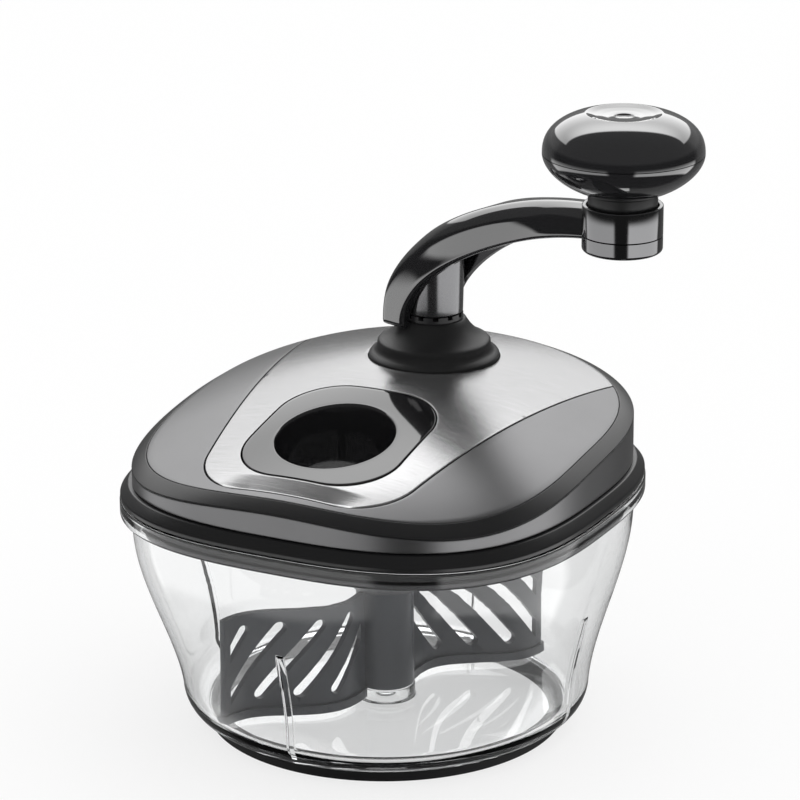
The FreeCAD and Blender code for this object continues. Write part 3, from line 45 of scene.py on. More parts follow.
TURN = 2 * math.pi
QUARTER = math.pi / 2
FOOT_HALF = 80.4        # outer half width at the round foot
WALL_SPREAD = 10.9      # what the half width gains up to the rim
WALL_TOP = 80.0         # height at which the wall has its full width
WALL_THICK = 2.2
CORNER_TOP = 15.5       # height at which the foot's corner becomes the wall
CORNER_ROUND = 11.0
LIP_LOW, RIM_TOP = 90.2, 96.8
LIP_HALF, RIM_INNER = 94.98, 89.1
POWER_GAIN = 0.77       # what the outline's power gains from the foot, a circle, to the rim


def smooth_step(share):
    """0 to 1 with level ends: 3 share^2 - 2 share^3."""
    share = np.clip(share, 0, 1)
    return share ** 2 * (3 - 2 * share)


def bowl_half(height):
    """Outer half width of the bowl at a height: the foot's, and the spread on a smooth step."""
    return FOOT_HALF + WALL_SPREAD * smooth_step((height - CORNER_TOP) / (WALL_TOP - CORNER_TOP))


def bowl_power(height):
    """Power of the bowl's outline at a height: a circle's 2 at the foot, which rises evenly to the rim."""
    return 2 + POWER_GAIN * np.clip((height - CORNER_TOP) / (LIP_LOW - CORNER_TOP), 0, 1)


def squircle(angle, power):
    """Distance from the axis to a superellipse of half width 1: (|cos|^power + |sin|^power)^(-1/power)."""
    return (np.abs(np.cos(angle)) ** power + np.abs(np.sin(angle)) ** power) ** (-1 / power)


def rings(radius, angle, height, middle=(0, 0)):
    """Points of rings round an upright axis, ring by ring: (radius cos angle, radius sin angle, height)."""
    x, y = middle[0] + radius * np.cos(angle), middle[1] + radius * np.sin(angle)
    return np.stack(np.broadcast_arrays(x, y, height), axis=-1).reshape(-1, 3)


RIB_DEPTH, RIB_HALF, RIB_SIDE = 1.7, 1.5, 0.5     # how far a rib stands in, half its width, its sides' slope
RIB_TOP, RIB_TOP_SLOPE = 54.6, 1.2
RIB_FOOT, RIB_FOOT_SLOPE = 8.0, 2.0
WALL_NEAREST = 74       # nearer to the axis lie only the floor and its corner, which have no ribs


def bowl_rings(rows, angles, first_inner):
    """Points of the bowl from (half width, height) rows, each a superellipse ring. From row first_inner on,
    the wall has its ribs: depth times smooth steps over a rib's sides, its top and its foot."""
    across, height = np.asarray(rows, float).T[:, :, None]
    radius = across * squircle(angles, bowl_power(height))
    sideways = radius * np.abs(np.sin((angles + QUARTER / 2) % QUARTER - QUARTER / 2))
    on_wall = (np.arange(len(rows))[:, None] >= first_inner) & (radius > WALL_NEAREST)
    upright = smooth_step((RIB_TOP - height) / RIB_TOP_SLOPE)
    upright = upright * smooth_step((height - RIB_FOOT) / RIB_FOOT_SLOPE)
    radius = radius - RIB_DEPTH * (upright * smooth_step((RIB_HALF - sideways) / RIB_SIDE) * on_wall)
    return rings(radius, angles, height)


# The bowl's columns: evenly round it, and more at the sides of each rib, at these distances on the wall.
around = np.linspace(0, TURN, 256, endpoint=False)
rib_side = np.array([-2.0, -1.6, -1.3, -1.0, 1.0, 1.3, 1.6, 2.0]) / 77.0
bowl_angles = np.unique(np.round(np.concatenate(
    [around] + [(quarter * QUARTER + rib_side) % TURN for quarter in range(4)]), 6))


def bend(points, radius, steps=4):
    """A polyline of (across, height) rows whose inner corners become arcs: points on a quadratic curve from
    radius before the corner to radius behind it, or 0.45 of the side where that is shorter."""
    points = np.asarray(points, float)
    result = [points[:1]]
    share = np.linspace(0, 1, steps + 1)[:, None]
    for before, corner, after in zip(points, points[1:], points[2:]):
        back, ahead = before - corner, after - corner
        reach = min(radius, 0.45 * np.linalg.norm(back), 0.45 * np.linalg.norm(ahead))
        start = corner + back / np.linalg.norm(back) * reach
        end = corner + ahead / np.linalg.norm(ahead) * reach
        result.append((1 - share) ** 2 * start + 2 * share * (1 - share) * corner + share ** 2 * end)
    return np.vstack(result + [points[-1:]])


# The bowl's rows, from the middle of its underside out, up the wall, over the lip, down inside and over the
# floor to the pin.
FLOOR_TOP, FLOOR_FLAT = 7.5, 65.5
FLOOR_CORNER = 12.7     # how far the floor's corner reaches out from the flat floor
under = bend([(0, 5.3), (71.1, 5.3), (71.1, 4.9), (72.3, 4.9)], 0.15)
corner_turn = np.linspace(1.3, 0, 10)
foot_corner = np.stack([FOOT_HALF - CORNER_ROUND + CORNER_ROUND * np.cos(corner_turn),
                        CORNER_TOP - CORNER_ROUND * np.sin(corner_turn)], axis=1)
wall_up = np.linspace(17, 89, 30)
outside_wall = np.stack([bowl_half(wall_up), wall_up], axis=1)
lip = bend([(91.3, 89.4), (91.3, LIP_LOW), (LIP_HALF, LIP_LOW), (LIP_HALF, RIM_TOP), (RIM_INNER, RIM_TOP),
            (RIM_INNER, 95.2)], 1.1)
wall_down = np.concatenate([np.linspace(95, 56, 14), [55, 54.6, 54.3, 54.0, 53.7, 53.4, 53],
                            np.linspace(50, 17, 12)])
inside_wall = np.stack([bowl_half(wall_down) - WALL_THICK, wall_down], axis=1)
floor_turn = np.linspace(0, QUARTER, 12)
floor_corner = np.stack([FLOOR_FLAT + FLOOR_CORNER * np.cos(floor_turn),
                         CORNER_TOP - (CORNER_TOP - FLOOR_TOP) * np.sin(floor_turn)], axis=1)
ring_and_pin = bend([(FLOOR_FLAT, FLOOR_TOP), (11.7, FLOOR_TOP), (11.7, 12.8), (9.7, 12.8), (9.7, FLOOR_TOP),
                     (4.0, FLOOR_TOP), (4.0, 30.0), (0, 30.0)], 0.6)
outer_rows = [under[:-1], foot_corner, outside_wall, lip]
bowl_rows = np.vstack(outer_rows + [inside_wall, floor_corner[:-1], ring_and_pin])


def grid_faces(rows, columns, closed_rows=False, closed_columns=True):
    """Quads of a grid whose points are numbered row by row: each joins a point and the one beside it to
    the two of the next row. A closed direction goes round to its start."""
    row = np.arange(rows if closed_rows else rows - 1)[:, None]
    column = np.arange(columns if closed_columns else columns - 1)[None, :]
    above = (row + 1) % rows
    beside = (column + 1) % columns
    corners = [row * columns + column, row * columns + beside,
               above * columns + beside, above * columns + column]
    return np.stack(np.broadcast_arrays(*corners), axis=-1).reshape(-1, 4)


def shaded_piece(name, mesh, form, smooth_below):
    """Put an edited form back in its mesh and make it an object. It shades smoothly, but edges that fold
    by more than smooth_below degrees stay sharp."""
    form.to_mesh(mesh)
    form.free()
    mesh.shade_smooth()
    mesh.set_sharp_from_angle(angle=math.radians(smooth_below))
    piece = bpy.data.objects.new(name, mesh)
    bpy.context.scene.collection.objects.link(piece)
    return piece


def mesh_object(name, points_mm, faces, smooth_below=40):
    """An object from points in millimetres and faces: points that meet become one, which closes seams and
    poles, and the faces are turned outwards."""
    mesh = bpy.data.meshes.new(name)
    mesh.from_pydata((np.asarray(points_mm, float) * 0.001).tolist(), [], np.asarray(faces).tolist())
    form = bmesh.new()
    form.from_mesh(mesh)
    bmesh.ops.remove_doubles(form, verts=form.verts, dist=1e-6)
    bmesh.ops.dissolve_degenerate(form, edges=form.edges, dist=1e-7)
    bmesh.ops.recalc_face_normals(form, faces=form.faces)
    return shaded_piece(name, mesh, form, smooth_below)


bowl = mesh_object("clear_bowl", bowl_rings(bowl_rows, bowl_angles, sum(map(len, outer_rows))),
                   grid_faces(len(bowl_rows), len(bowl_angles)), 35)
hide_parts("bowl")
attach(bowl, "bowl")


class Nodes:
    """Makes the shader nodes of one material, each wired as it is made."""

    def __init__(self, name):
        self.material = bpy.data.materials.new(name)
        self.material.use_nodes = True
        self.tree = self.material.node_tree
        self.shader = self.tree.nodes["Principled BSDF"]
        self.place = self.tree.nodes.new("ShaderNodeTexCoord").outputs["Object"]

    def add(self, kind, links=None, **settings):
        """A node with its inputs' values or own settings, and links from other nodes' outputs."""
        node = self.tree.nodes.new(kind)
        for key, value in settings.items():
            if key in node.inputs:
                node.inputs[key].default_value = value
            else:
                setattr(node, key, value)
        for key, output in (links or {}).items():
            self.tree.links.new(output, node.inputs[key])
        return node

    def noise(self, scale, stretch=(1, 1, 1), detail=3.0):
        """Noise on the piece's own place, in features per metre, stretched along its axes."""
        spread = self.add("ShaderNodeMapping", {"Vector": self.place}, Scale=stretch)
        return self.add("ShaderNodeTexNoise", {"Vector": spread.outputs["Vector"]}, Scale=scale,
                        Detail=detail).outputs["Fac"]

    def shade(self, value, dark, light):
        """A colour between two, chosen by a value."""
        mix = self.add("ShaderNodeMix", {"Factor": value}, data_type="RGBA")
        mix.inputs["A"].default_value = (*dark, 1)
        mix.inputs["B"].default_value = (*light, 1)
        self.tree.links.new(mix.outputs["Result"], self.shader.inputs["Base Color"])

    def relief(self, value, depth):
        """Bump of a depth in metres."""
        bump = self.add("ShaderNodeBump", {"Height": value}, Strength=1.0, Distance=depth)
        self.tree.links.new(bump.outputs["Normal"], self.shader.inputs["Normal"])

    def rough(self, value, low, high):
        """Roughness between two limits, chosen by a value."""
        spread = self.add("ShaderNodeMapRange", {"Value": value}, **{"To Min": low, "To Max": high})
        self.tree.links.new(spread.outputs["Result"], self.shader.inputs["Roughness"])

    def fixed(self, **settings):
        """Values that are the same all over, on the shader's own sockets."""
        for key, value in settings.items():
            self.shader.inputs[key.replace("_", " ")].default_value = value


def plastic(name, dark, light, rough, grain, relief=0.0, **fixed):
    """A moulded or lacquered finish: its colour varies a little over some 25 mm, and a fine grain, in
    features per metre, gives it roughness between two limits and, at a depth in metres, relief."""
    made = Nodes(name)
    broad = made.noise(40)
    fine = made.noise(grain)
    made.shade(broad, dark, light)
    made.rough(fine, *rough)
    if relief:
        made.relief(fine, relief)
    made.fixed(**fixed)
    return made.material


def dress(piece, material):
    """Give a piece or a CAD node one material."""
    piece.data.materials.clear()
    piece.data.materials.append(material)


# The clear plastic swallows a little light with depth, so that it darkens where one looks along a wall.
TINT_PER_METRE = 34.0
clear = plastic("clear_food_plastic", (0.985, 0.99, 0.99), (1, 1, 1),
                rough=(0.0, 0.012), grain=260, IOR=1.49, Transmission_Weight=1.0)
tint = clear.node_tree.nodes.new("ShaderNodeVolumeAbsorption")
tint.inputs["Color"].default_value = (0.5, 0.52, 0.53, 1)
tint.inputs["Density"].default_value = TINT_PER_METRE
clear_surface = clear.node_tree.nodes["Material Output"]
clear.node_tree.links.new(tint.outputs["Volume"], clear_surface.inputs["Volume"])
dress(bowl, clear)


# ---------------------------------------------------------------- foot ring
# Soft black ring of moulded rubber, pressed in the groove under the bowl. It stands proud of the plastic,
# so that the bowl rests on it alone and doesn't slip on the table.

def turned(name, profile, middle=(0, 0), count=160, smooth_below=40):
    """A profile of (radius, height) points carried round an upright axis in count equal steps of angle: a
    ring for each point. It closes on itself or at poles."""
    radius, height = np.asarray(profile, float).T[:, :, None]
    points = rings(radius, np.linspace(0, TURN, count, endpoint=False), height, middle)
    return mesh_object(name, points, grid_faces(len(radius), count), smooth_below)


def ring_profile(corners, radius):
    """A closed profile with rounded corners: it starts and ends halfway along its first side."""
    corners = np.asarray(corners, float)
    start = (corners[0] + corners[1]) / 2
    return bend(np.vstack([[start], corners[1:], corners[:1], [start]]), radius, 3)


foot_ring = turned("foot_rubber", ring_profile([(65.2, 0), (70.8, 0), (70.8, 5.2), (65.2, 5.2)], 0.8))
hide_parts("foot_ring")
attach(foot_ring, "bowl")
rubber = plastic("black_foot_rubber", (0.006, 0.006, 0.0065), (0.01, 0.01, 0.0105),
                 rough=(0.55, 0.7), grain=2500, relief=2e-5, Specular_IOR_Level=0.2)
dress(foot_ring, rubber)


# ---------------------------------------------------------------- lid's carrier
# Black moulding that holds the whole lid: a flared flange that rests on the bowl's rim, the wall behind the
# grey band, and the sloping dark band round the shoulder. The dome's panels lie in its recess.

DOME_ACROSS, DOME_ALONG = 250.0, 370.0      # radii of the dome from side to side and from front to back
CROWN_TOP, CROWN_BACK = 136.8, 38.0         # height of its crown, and how far behind the bowl's axis it is


def dome_height(x, y):
    """Height of the lid's dome: an arc from side to side, sqrt(across^2 - x^2), swept on an arc from front
    to back, sqrt(sweep^2 - (y - back)^2)."""
    sweep = DOME_ALONG - DOME_ACROSS + np.sqrt(DOME_ACROSS ** 2 - x ** 2)
    return CROWN_TOP - DOME_ALONG + np.sqrt(sweep ** 2 - (y - CROWN_BACK) ** 2)


LID_POWER = 2.83        # power of the lid's outline
LID_COLUMNS = 320
LID_WALL = 90.0         # half width of the lid's wall


def lid_shell(name, rows):
    """A closed shell round the lid from rows of (half width, height, dome share), each a superellipse ring:
    at share 1 a row's height counts from the dome, at share 0 from the table."""
    across, height, share = np.asarray(rows, float).T[:, :, None]
    angle = np.linspace(0, TURN, LID_COLUMNS, endpoint=False)
    radius = across * squircle(angle, LID_POWER)
    level = height + share * dome_height(radius * np.cos(angle), radius * np.sin(angle))
    return mesh_object(name, rings(radius, angle, level), grid_faces(len(rows), LID_COLUMNS), 50)


def with_share(rows, share):
    """Rows of (half width, height) with their dome share added."""
    return np.column_stack([rows, np.full(len(rows), share)])


GROOVE = 88.4           # half width of the carrier's wall, in the groove for the grey band
flange = bend([(86.5, 99.6), (86.5, 97.1), (94.3, 97.1), (94.3, 99.0), (91.35, 102.7), (GROOVE, 102.7)], 0.5)
wall_rows = [(GROOVE, 102.75, 0), (GROOVE, -2.6, 1)]
shoulder_band = bend([(GROOVE, -2.0), (LID_WALL, -2.0), (LID_WALL, -1.6), (84.7, 0.0), (84.7, -1.9)], 0.35)
recess_rows = [(68.0, -1.95, 1), (68.0, -4.1, 1), (86.5, -4.1, 1), (86.5, 99.6, 0)]
carrier = lid_shell("lid_carrier", np.vstack([with_share(flange, 0), wall_rows, with_share(shoulder_band, 1),
                                              recess_rows]))
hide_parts("lid_frame")
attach(carrier, "lid")
dress(carrier, plastic("carrier_black", (0.006, 0.006, 0.0065), (0.009, 0.009, 0.0095),
                       rough=(0.26, 0.36), grain=1800, relief=4e-6))


# ---------------------------------------------------------------- lid's grey band and panel
# Satin grey metallic paint on plastic: a band clipped round the wall, and the dome's panel, which is open
# where the steel plate lies, so it runs round three sides of the plate.

BAND_INNER = 88.5
band_foot = bend([(BAND_INNER, 103.5), (BAND_INNER, 102.9), (LID_WALL, 102.9), (LID_WALL, 104)], 0.3)
band_top = bend([(LID_WALL, -3), (LID_WALL, -2.2), (BAND_INNER, -2.2), (BAND_INNER, -3)], 0.3)
band = lid_shell("lid_wall_band", np.vstack([with_share(band_foot, 0), with_share(band_top, 1),
                                             with_share(band_foot[:1], 0)]))
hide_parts("side_trim")
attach(band, "lid")
satin = plastic("satin_grey_paint", (0.15, 0.15, 0.1525), (0.175, 0.175, 0.1775),
                rough=(0.3, 0.38), grain=3200, relief=5e-6, Metallic=0.95)
dress(band, satin)

PLATE_FRONT, PLATE_HALF = -80.8, 39.7       # the steel plate's front edge, and half its width there
PLATE_SLOPE = (71.6 - 39.7) / 160.8         # what half its width gains for each mm towards the back
PLATE_CORNER = 25.0
PLATE_GAP = 0.6                             # joint between the plate and what lies beside it
PAST_THE_LID = 180.0


def plate_outline(grow):
    """The steel plate's outline seen from above, from its back right end round the front to its back left
    end: straight sides that widen to the back, and front corners on arcs. It is grown sideways by grow."""
    lean = math.atan(PLATE_SLOPE)
    front, half, radius = PLATE_FRONT - grow, PLATE_HALF - PLATE_SLOPE * grow + grow, PLATE_CORNER + grow
    middle = np.array([half - radius / math.tan((QUARTER + lean) / 2), front + radius])
    angles = np.linspace(-lean, -QUARTER, 40)
    arc = middle + radius * np.stack([np.cos(angles), np.sin(angles)], axis=1)
    far = arc[0] + np.array([math.sin(lean), math.cos(lean)]) * PAST_THE_LID
    right = np.vstack([np.linspace(far, arc[0], 90)[:-1], arc])
    left = right[::-1] * (-1, 1)
    return np.vstack([right, np.linspace(right[-1], left[0], 24)[1:-1], left])


RECESS_HALF = 84.6      # half width of the recess that holds panel and plate


def round_lid(angle):
    """Plan points of the recess's outline, a superellipse, at some angles round the bowl's axis."""
    radius = RECESS_HALF * squircle(angle, LID_POWER)
    return np.stack([radius * np.cos(angle), radius * np.sin(angle)], axis=1)


def within_lid(plan, half):
    """True for plan points inside the lid's superellipse: |x / half|^power + |y / half|^power < 1."""
    return (np.abs(plan / half) ** LID_POWER).sum(axis=1) < 1


TROUGH_BACK, TROUGH_LENGTH = -72.2, 6.8
TROUGH_FRONT, TROUGH_RISE = -80.9, 1.6
TROUGH_HALF, TROUGH_FADE = 16.0, 18.0


def front_trough(x, y):
    """Depth share of the trough in the plate before the filler: it falls evenly to the front and rises
    again at the edge, and it fades sideways towards both corners on a smooth step."""
    fall = np.clip((TROUGH_BACK - y) / TROUGH_LENGTH, 0, 1) * np.clip((y - TROUGH_FRONT) / TROUGH_RISE, 0, 1)
    return fall * (1 - smooth_step((np.abs(x) - TROUGH_HALF) / TROUGH_FADE))


SHEET = 1.8             # thickness of panel and plate


def panel_strip(inner, outer, cut=0.35, rows=14, closed=False, seam=None, trough=0.0):
    """A panel on the dome between two plan outlines of equally many points: inner + share (outer - inner)
    at the dome's height. Both edges are quarter circles of radius cut, and the underside lies SHEET lower.
    Its top is pressed down by trough times front_trough. It has no outer edge where seam is True."""
    seam = np.zeros(len(inner), bool) if seam is None else seam
    width = np.linalg.norm(outer - inner, axis=1, keepdims=True)
    unit = (outer - inner) / np.maximum(width, 1e-6)
    near = np.minimum(cut, width / 3)
    far = np.where(seam[:, None], 0, near)
    near_top, far_top = inner + unit * near, outer - unit * far
    turn = np.linspace(0, QUARTER, 4)
    steps = [(inner + unit * near * (1 - np.cos(angle)), near[:, 0] * (1 - np.sin(angle))) for angle in turn]
    steps += [(near_top + (far_top - near_top) * share, 0.0) for share in np.linspace(0, 1, rows)[1:-1]]
    steps += [(outer - unit * far * (1 - np.cos(angle)), far[:, 0] * (1 - np.sin(angle)))
              for angle in turn[::-1]]
    outer_edge = len(steps) - 1
    steps += [(outer, SHEET), (inner, SHEET)]
    stacked = []
    for plan, down in steps:
        x, y = plan.T
        pressed = trough * front_trough(x, y) * (np.max(down) < SHEET)
        stacked.append(np.column_stack([x, y, dome_height(x, y) - down - pressed]))
    faces = grid_faces(len(steps), len(inner), closed_rows=True, closed_columns=closed)
    row, column = faces[:, 0] // len(inner), faces[:, 0] % len(inner)
    left_open = (row == outer_edge) & seam[column] & seam[(column + 1) % len(inner)]
    return np.vstack(stacked), faces[~left_open]


panel_inner = plate_outline(PLATE_GAP)
panel_inner = panel_inner[within_lid(panel_inner, RECESS_HALF - 0.1)]
panel_outer = round_lid(np.unwrap(np.arctan2(panel_inner[:, 1], panel_inner[:, 0])))
panel = mesh_object("dome_panel", *panel_strip(panel_inner, panel_outer), 50)
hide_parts("top_cover")
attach(panel, "lid")
dress(panel, satin)


# ---------------------------------------------------------------- steel plate
# Sheet of brushed stainless steel, pressed to the dome's form and glued in its recess, with an opening for
# the filler's surround and a round one for the bell.

def reach_to(origin, angles, outline):
    """Distance from a plan point to a closed outline along each angle: origin + distance ray meets
    start + along side, where along lies between 0 and 1, and the nearest such crossing counts."""
    start = outline - origin
    side = np.roll(start, -1, axis=0) - start
    ray = np.stack([np.cos(angles), np.sin(angles)], axis=1)
    across = ray[:, :1] * side[:, 1] - ray[:, 1:] * side[:, 0]
    across = np.where(np.abs(across) < 1e-12, 1e-12, across)
    distance = (start[:, 0] * side[:, 1] - start[:, 1] * side[:, 0]) / across
    along = (start[:, 0] * ray[:, 1:] - start[:, 1] * ray[:, :1]) / across
    hit = (along > -1e-9) & (along < 1 + 1e-9) & (distance > 0)
    return np.where(hit, distance, 1e9).min(axis=1)


FILLER_HALF_X, FILLER_HALF_Y, FILLER_CORNER = 32.2, 34.2, 22.0
FILLER_Y = -37.1        # the middle of the filler's surround


def filler_outline(grow):
    """The filler surround's outline seen from above: a rounded rectangle of four quarter circles."""
    angles = np.linspace(0, QUARTER, 24)
    corners = []
    for quarter, (side_x, side_y) in enumerate(((1, 1), (-1, 1), (-1, -1), (1, -1))):
        middle = np.array([side_x * (FILLER_HALF_X - FILLER_CORNER),
                           side_y * (FILLER_HALF_Y - FILLER_CORNER) + FILLER_Y])
        turn = angles + quarter * QUARTER
        corners.append(middle + (FILLER_CORNER + grow) * np.stack([np.cos(turn), np.sin(turn)], axis=1))
    return np.vstack(corners)


# The plate is one sheet, meshed round each of its openings up to a line across, where the halves are merged.
MEETING_LINE = 7.0
CRANK_Y = 43.0          # how far the crank's axis stands behind the bowl's
BELL_OPENING = 26.2
plate_edge = plate_outline(0.0)
plate_rim = plate_edge[within_lid(plate_edge, RECESS_HALF)]
back_ends = [math.atan2(y, x) for x, y in plate_rim[[-1, 0]]]
plate_rim = np.vstack([plate_rim, round_lid(np.linspace(*back_ends, 90))])
line_reach = np.interp(MEETING_LINE, plate_rim[:40, 1][::-1], plate_rim[:40, 0][::-1])
line_x = np.linspace(-line_reach, line_reach, 60)


def half_plate(middle_y, opening, sign):
    """Points and faces of the plate on one side of the meeting line: a strip from the opening out to the
    plate's rim or to that line, along rays from the opening's middle."""
    origin = np.array([0.0, middle_y])
    line_angle = np.unwrap(np.arctan2(MEETING_LINE - middle_y, line_x))
    rim_angle = np.linspace(line_angle[-1], line_angle[0] + sign * TURN, 240)[1:-1]
    angles = np.concatenate([line_angle, rim_angle])
    far = reach_to(origin, angles, plate_rim)
    far[:len(line_x)] = np.hypot(line_x, MEETING_LINE - middle_y)
    near = reach_to(origin, angles, opening)
    ray = np.stack([np.cos(angles), np.sin(angles)], axis=1)
    seam = np.arange(len(angles)) < len(line_x)
    return panel_strip(origin + ray * near[:, None], origin + ray * far[:, None], cut=0.25, rows=24,
                       closed=True, seam=seam, trough=1.45)


bell_turn = np.linspace(0, TURN, 180, endpoint=False)
bell_opening = rings(BELL_OPENING, bell_turn, 0, (0, CRANK_Y))[:, :2]
front_points, front_faces = half_plate(FILLER_Y, filler_outline(PLATE_GAP), -1)
back_points, back_faces = half_plate(CRANK_Y, bell_opening, 1)
plate = mesh_object("steel_plate", np.vstack([front_points, back_points]),
                    np.vstack([front_faces, back_faces + len(front_points)]), 50)
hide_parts("trim_plate")
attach(plate, "lid")
brushed = Nodes("brushed_steel_sheet")
streaks = brushed.noise(90, stretch=(1, 60, 1), detail=6)
brushed.shade(streaks, (0.24, 0.24, 0.242), (0.44, 0.44, 0.443))
brushed.rough(streaks, 0.18, 0.3)
brushed.relief(streaks, 1.3e-5)
brushed.fixed(Metallic=0.86, Anisotropic=0.6)
dress(plate, brushed.material)


# ---------------------------------------------------------------- filler
# Gloss black surround of the filler opening, moulded in one piece with the chute that leads into the bowl.
# It is pushed in from above and lies level with the steel plate round it.

HOLE_Y, HOLE_R = -40.5, 22.8
EDGE_ROUND, MOUTH_ROUND = 0.4, 1.2
CHUTE_OUTER_R, CHUTE_END = 24.3, 93.0


def filler():
    """Points and faces along rays from the hole's middle: each row is a reach on every ray, with its depth
    below the dome or its height. The rows go over the edge, in to the rounded mouth and down the chute."""
    middle = np.array([0.0, HOLE_Y])
    angles = np.linspace(0, TURN, 216, endpoint=False)
    ray = np.stack([np.cos(angles), np.sin(angles)], axis=1)
    outline = reach_to(middle, angles, filler_outline(0.0))
    flat_outer, flat_inner = outline - EDGE_ROUND, HOLE_R + MOUTH_ROUND
    turn = np.linspace(0, QUARTER, 5)
    rows = [(outline, SHEET, None)]
    rows += [(outline - EDGE_ROUND * (1 - np.cos(angle)), EDGE_ROUND * (1 - np.sin(angle)), None)
             for angle in turn]
    rows += [(flat_outer + (flat_inner - flat_outer) * share, 0.0, None)
             for share in np.linspace(0, 1, 10)[1:-1]]
    rows += [(HOLE_R + MOUTH_ROUND * (1 - np.sin(angle)), MOUTH_ROUND * (1 - np.cos(angle)), None)
             for angle in turn]
    rows += [(HOLE_R, None, height) for height in np.linspace(120, CHUTE_END, 8)]
    rows += [(CHUTE_OUTER_R, None, CHUTE_END), (CHUTE_OUTER_R, SHEET, None)]
    stacked = []
    for reach, down, height in rows:
        plan = middle + ray * np.broadcast_to(reach, angles.shape)[:, None]
        level = dome_height(plan[:, 0], plan[:, 1]) - down if height is None else np.full(len(plan), height)
        stacked.append(np.column_stack([plan, level]))
    return np.vstack(stacked), grid_faces(len(rows), len(angles), closed_rows=True)


surround = mesh_object("filler_surround", *filler(), 50)
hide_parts("filler_ring")
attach(surround, "lid")
dress(surround, plastic("surround_gloss_black", (0.008, 0.008, 0.0085), (0.011, 0.011, 0.0115),
                        rough=(0.05, 0.09), grain=300, relief=2e-6, Coat_Weight=0.5, Coat_Roughness=0.04))


# ---------------------------------------------------------------- bell
# Matt black bell round the crank's shaft, of soft-touch plastic: a flat skirt, a step, and a hollow cone.
# It stands in the steel plate's round opening and stays still while the crank turns.

SKIRT_LOW, CONE_TOP, SHAFT_HOLE = 132.5, 151.4, 7.1
skirt = [(SHAFT_HOLE, SKIRT_LOW), (25.9, SKIRT_LOW), (25.9, 136.6), (25.4, 137.3), (24.2, 137.9),
         (23.2, 138.7), (22.7, 139.8), (22.5, 141.2), (22.4, 142.0), (22.0, 142.5), (21.6, 142.8)]
cone = [(20.6, 143.25), (18.8, 144.2), (16.7, 145.9), (14.8, 147.9), (13.5, 149.8), (12.7, 151.1),
        (12.3, CONE_TOP), (SHAFT_HOLE, CONE_TOP), (SHAFT_HOLE, SKIRT_LOW)]
bell = turned("shaft_bell", skirt + cone, (0, CRANK_Y), 192, 32)
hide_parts("bell_collar")
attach(bell, "lid")
soft_black = plastic("bell_soft_black", (0.009, 0.009, 0.0095), (0.013, 0.013, 0.0135),
                     rough=(0.4, 0.5), grain=2600, relief=8e-6)
dress(bell, soft_black)


# ---------------------------------------------------------------- crank's sleeve
# Grey lacquered steel sleeve pressed on the crank's shaft. It widens a little upwards, its back is
# flattened to fit under the arm's hood, and a pin through both holds it.

ARM_TURN = math.radians(-17.0)      # the arm's direction seen from above, from the right
ARM_REACH = 97.2                    # from the crank's axis to the knob's
ARM_FOOT = 151.6                    # height of the hood's foot


def arm_curve(share, back, rise, power):
    """A quarter superellipse in the arm's own plane, from its foot to the knob's axis: along is the reach
    less back cos^(2/power), and height is the foot's and rise sin^(2/power)."""
    angle = share * math.pi / 2
    return np.stack([ARM_REACH - back * np.cos(angle) ** (2 / power),
                     ARM_FOOT + rise * np.sin(angle) ** (2 / power)], axis=-1)


def arm_roof(share, inset=0.0):
    """The arm's upper side, from the hood's back, or a line inset below it."""
    return arm_curve(share, 110.2 - inset, 62.6 - inset, 2.1)


def arm_belly(share):
    """The arm's lower side, from the hood's front foot."""
    return arm_curve(share, 98.7, 50.7, 1.7)


def from_arm(along, side, height):
    """Points in the arm's own frame brought to the chopper's: turned by the arm's direction, and moved to
    the crank's axis."""
    x = along * math.cos(ARM_TURN) - side * math.sin(ARM_TURN)
    y = CRANK_Y + along * math.sin(ARM_TURN) + side * math.cos(ARM_TURN)
    return np.stack([x, y, height], axis=-1).reshape(-1, 3)


# The sleeve's closed profile has twelve rows up its side, between its two rounded corners of five rows each.
SLEEVE_COLUMNS = 160
sleeve_bent = bend([(5.0, 154.3), (11.5, 154.3), (12.2, 180.8), (5.0, 180.8)], 0.4)
sleeve_profile = np.vstack([sleeve_bent[:5], np.linspace(sleeve_bent[5], sleeve_bent[6], 12), sleeve_bent[7:],
                            sleeve_bent[:1]])
sleeve_angle = np.linspace(0, TURN, SLEEVE_COLUMNS, endpoint=False)[None, :]
sleeve_height = np.broadcast_to(sleeve_profile[:, 1:], (len(sleeve_profile), SLEEVE_COLUMNS))
hood_inside = arm_roof(np.linspace(0, 1, 400), 3.5)
sleeve_along = np.maximum(sleeve_profile[:, :1] * np.cos(sleeve_angle),
                          np.interp(sleeve_height, hood_inside[:, 1], hood_inside[:, 0]))
sleeve_side = sleeve_profile[:, :1] * np.sin(sleeve_angle)
sleeve = mesh_object("shaft_sleeve_grey", from_arm(sleeve_along, sleeve_side, sleeve_height),
                     grid_faces(len(sleeve_profile), SLEEVE_COLUMNS), 35)
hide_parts("shaft_sleeve")
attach(sleeve, "crank")
dress(sleeve, plastic("sleeve_lacquer", (0.12, 0.12, 0.124), (0.15, 0.15, 0.154),
                      rough=(0.16, 0.24), grain=900, relief=2e-6, Metallic=0.9, Coat_Weight=0.3))


# ---------------------------------------------------------------- crank arm
# Gooseneck arm of gloss black plastic: a hood with two cheeks over the sleeve that narrows to a bar and
# ends in the collar. The hood is open towards the front and below.

HOOD_HALF, BAR_HALF = 17.0, 8.6
NARROWS_FROM, NARROWS_OVER = 8.0, 54.0
CHEEK_THICK, ROOF_THICK = 4.6, 3.4
HOLLOW_END = 31.0       # past this length the arm is solid
FOOT_ROUND = 1.8        # rounding of the arm's lower edges
FOOT_DROP, FOOT_ROWS = 2.0, 5


def arm_half_width(along):
    """Half width of the arm: the hood's, which falls to the bar's on a smooth step along it."""
    return HOOD_HALF - (HOOD_HALF - BAR_HALF) * smooth_step((along - NARROWS_FROM) / NARROWS_OVER)


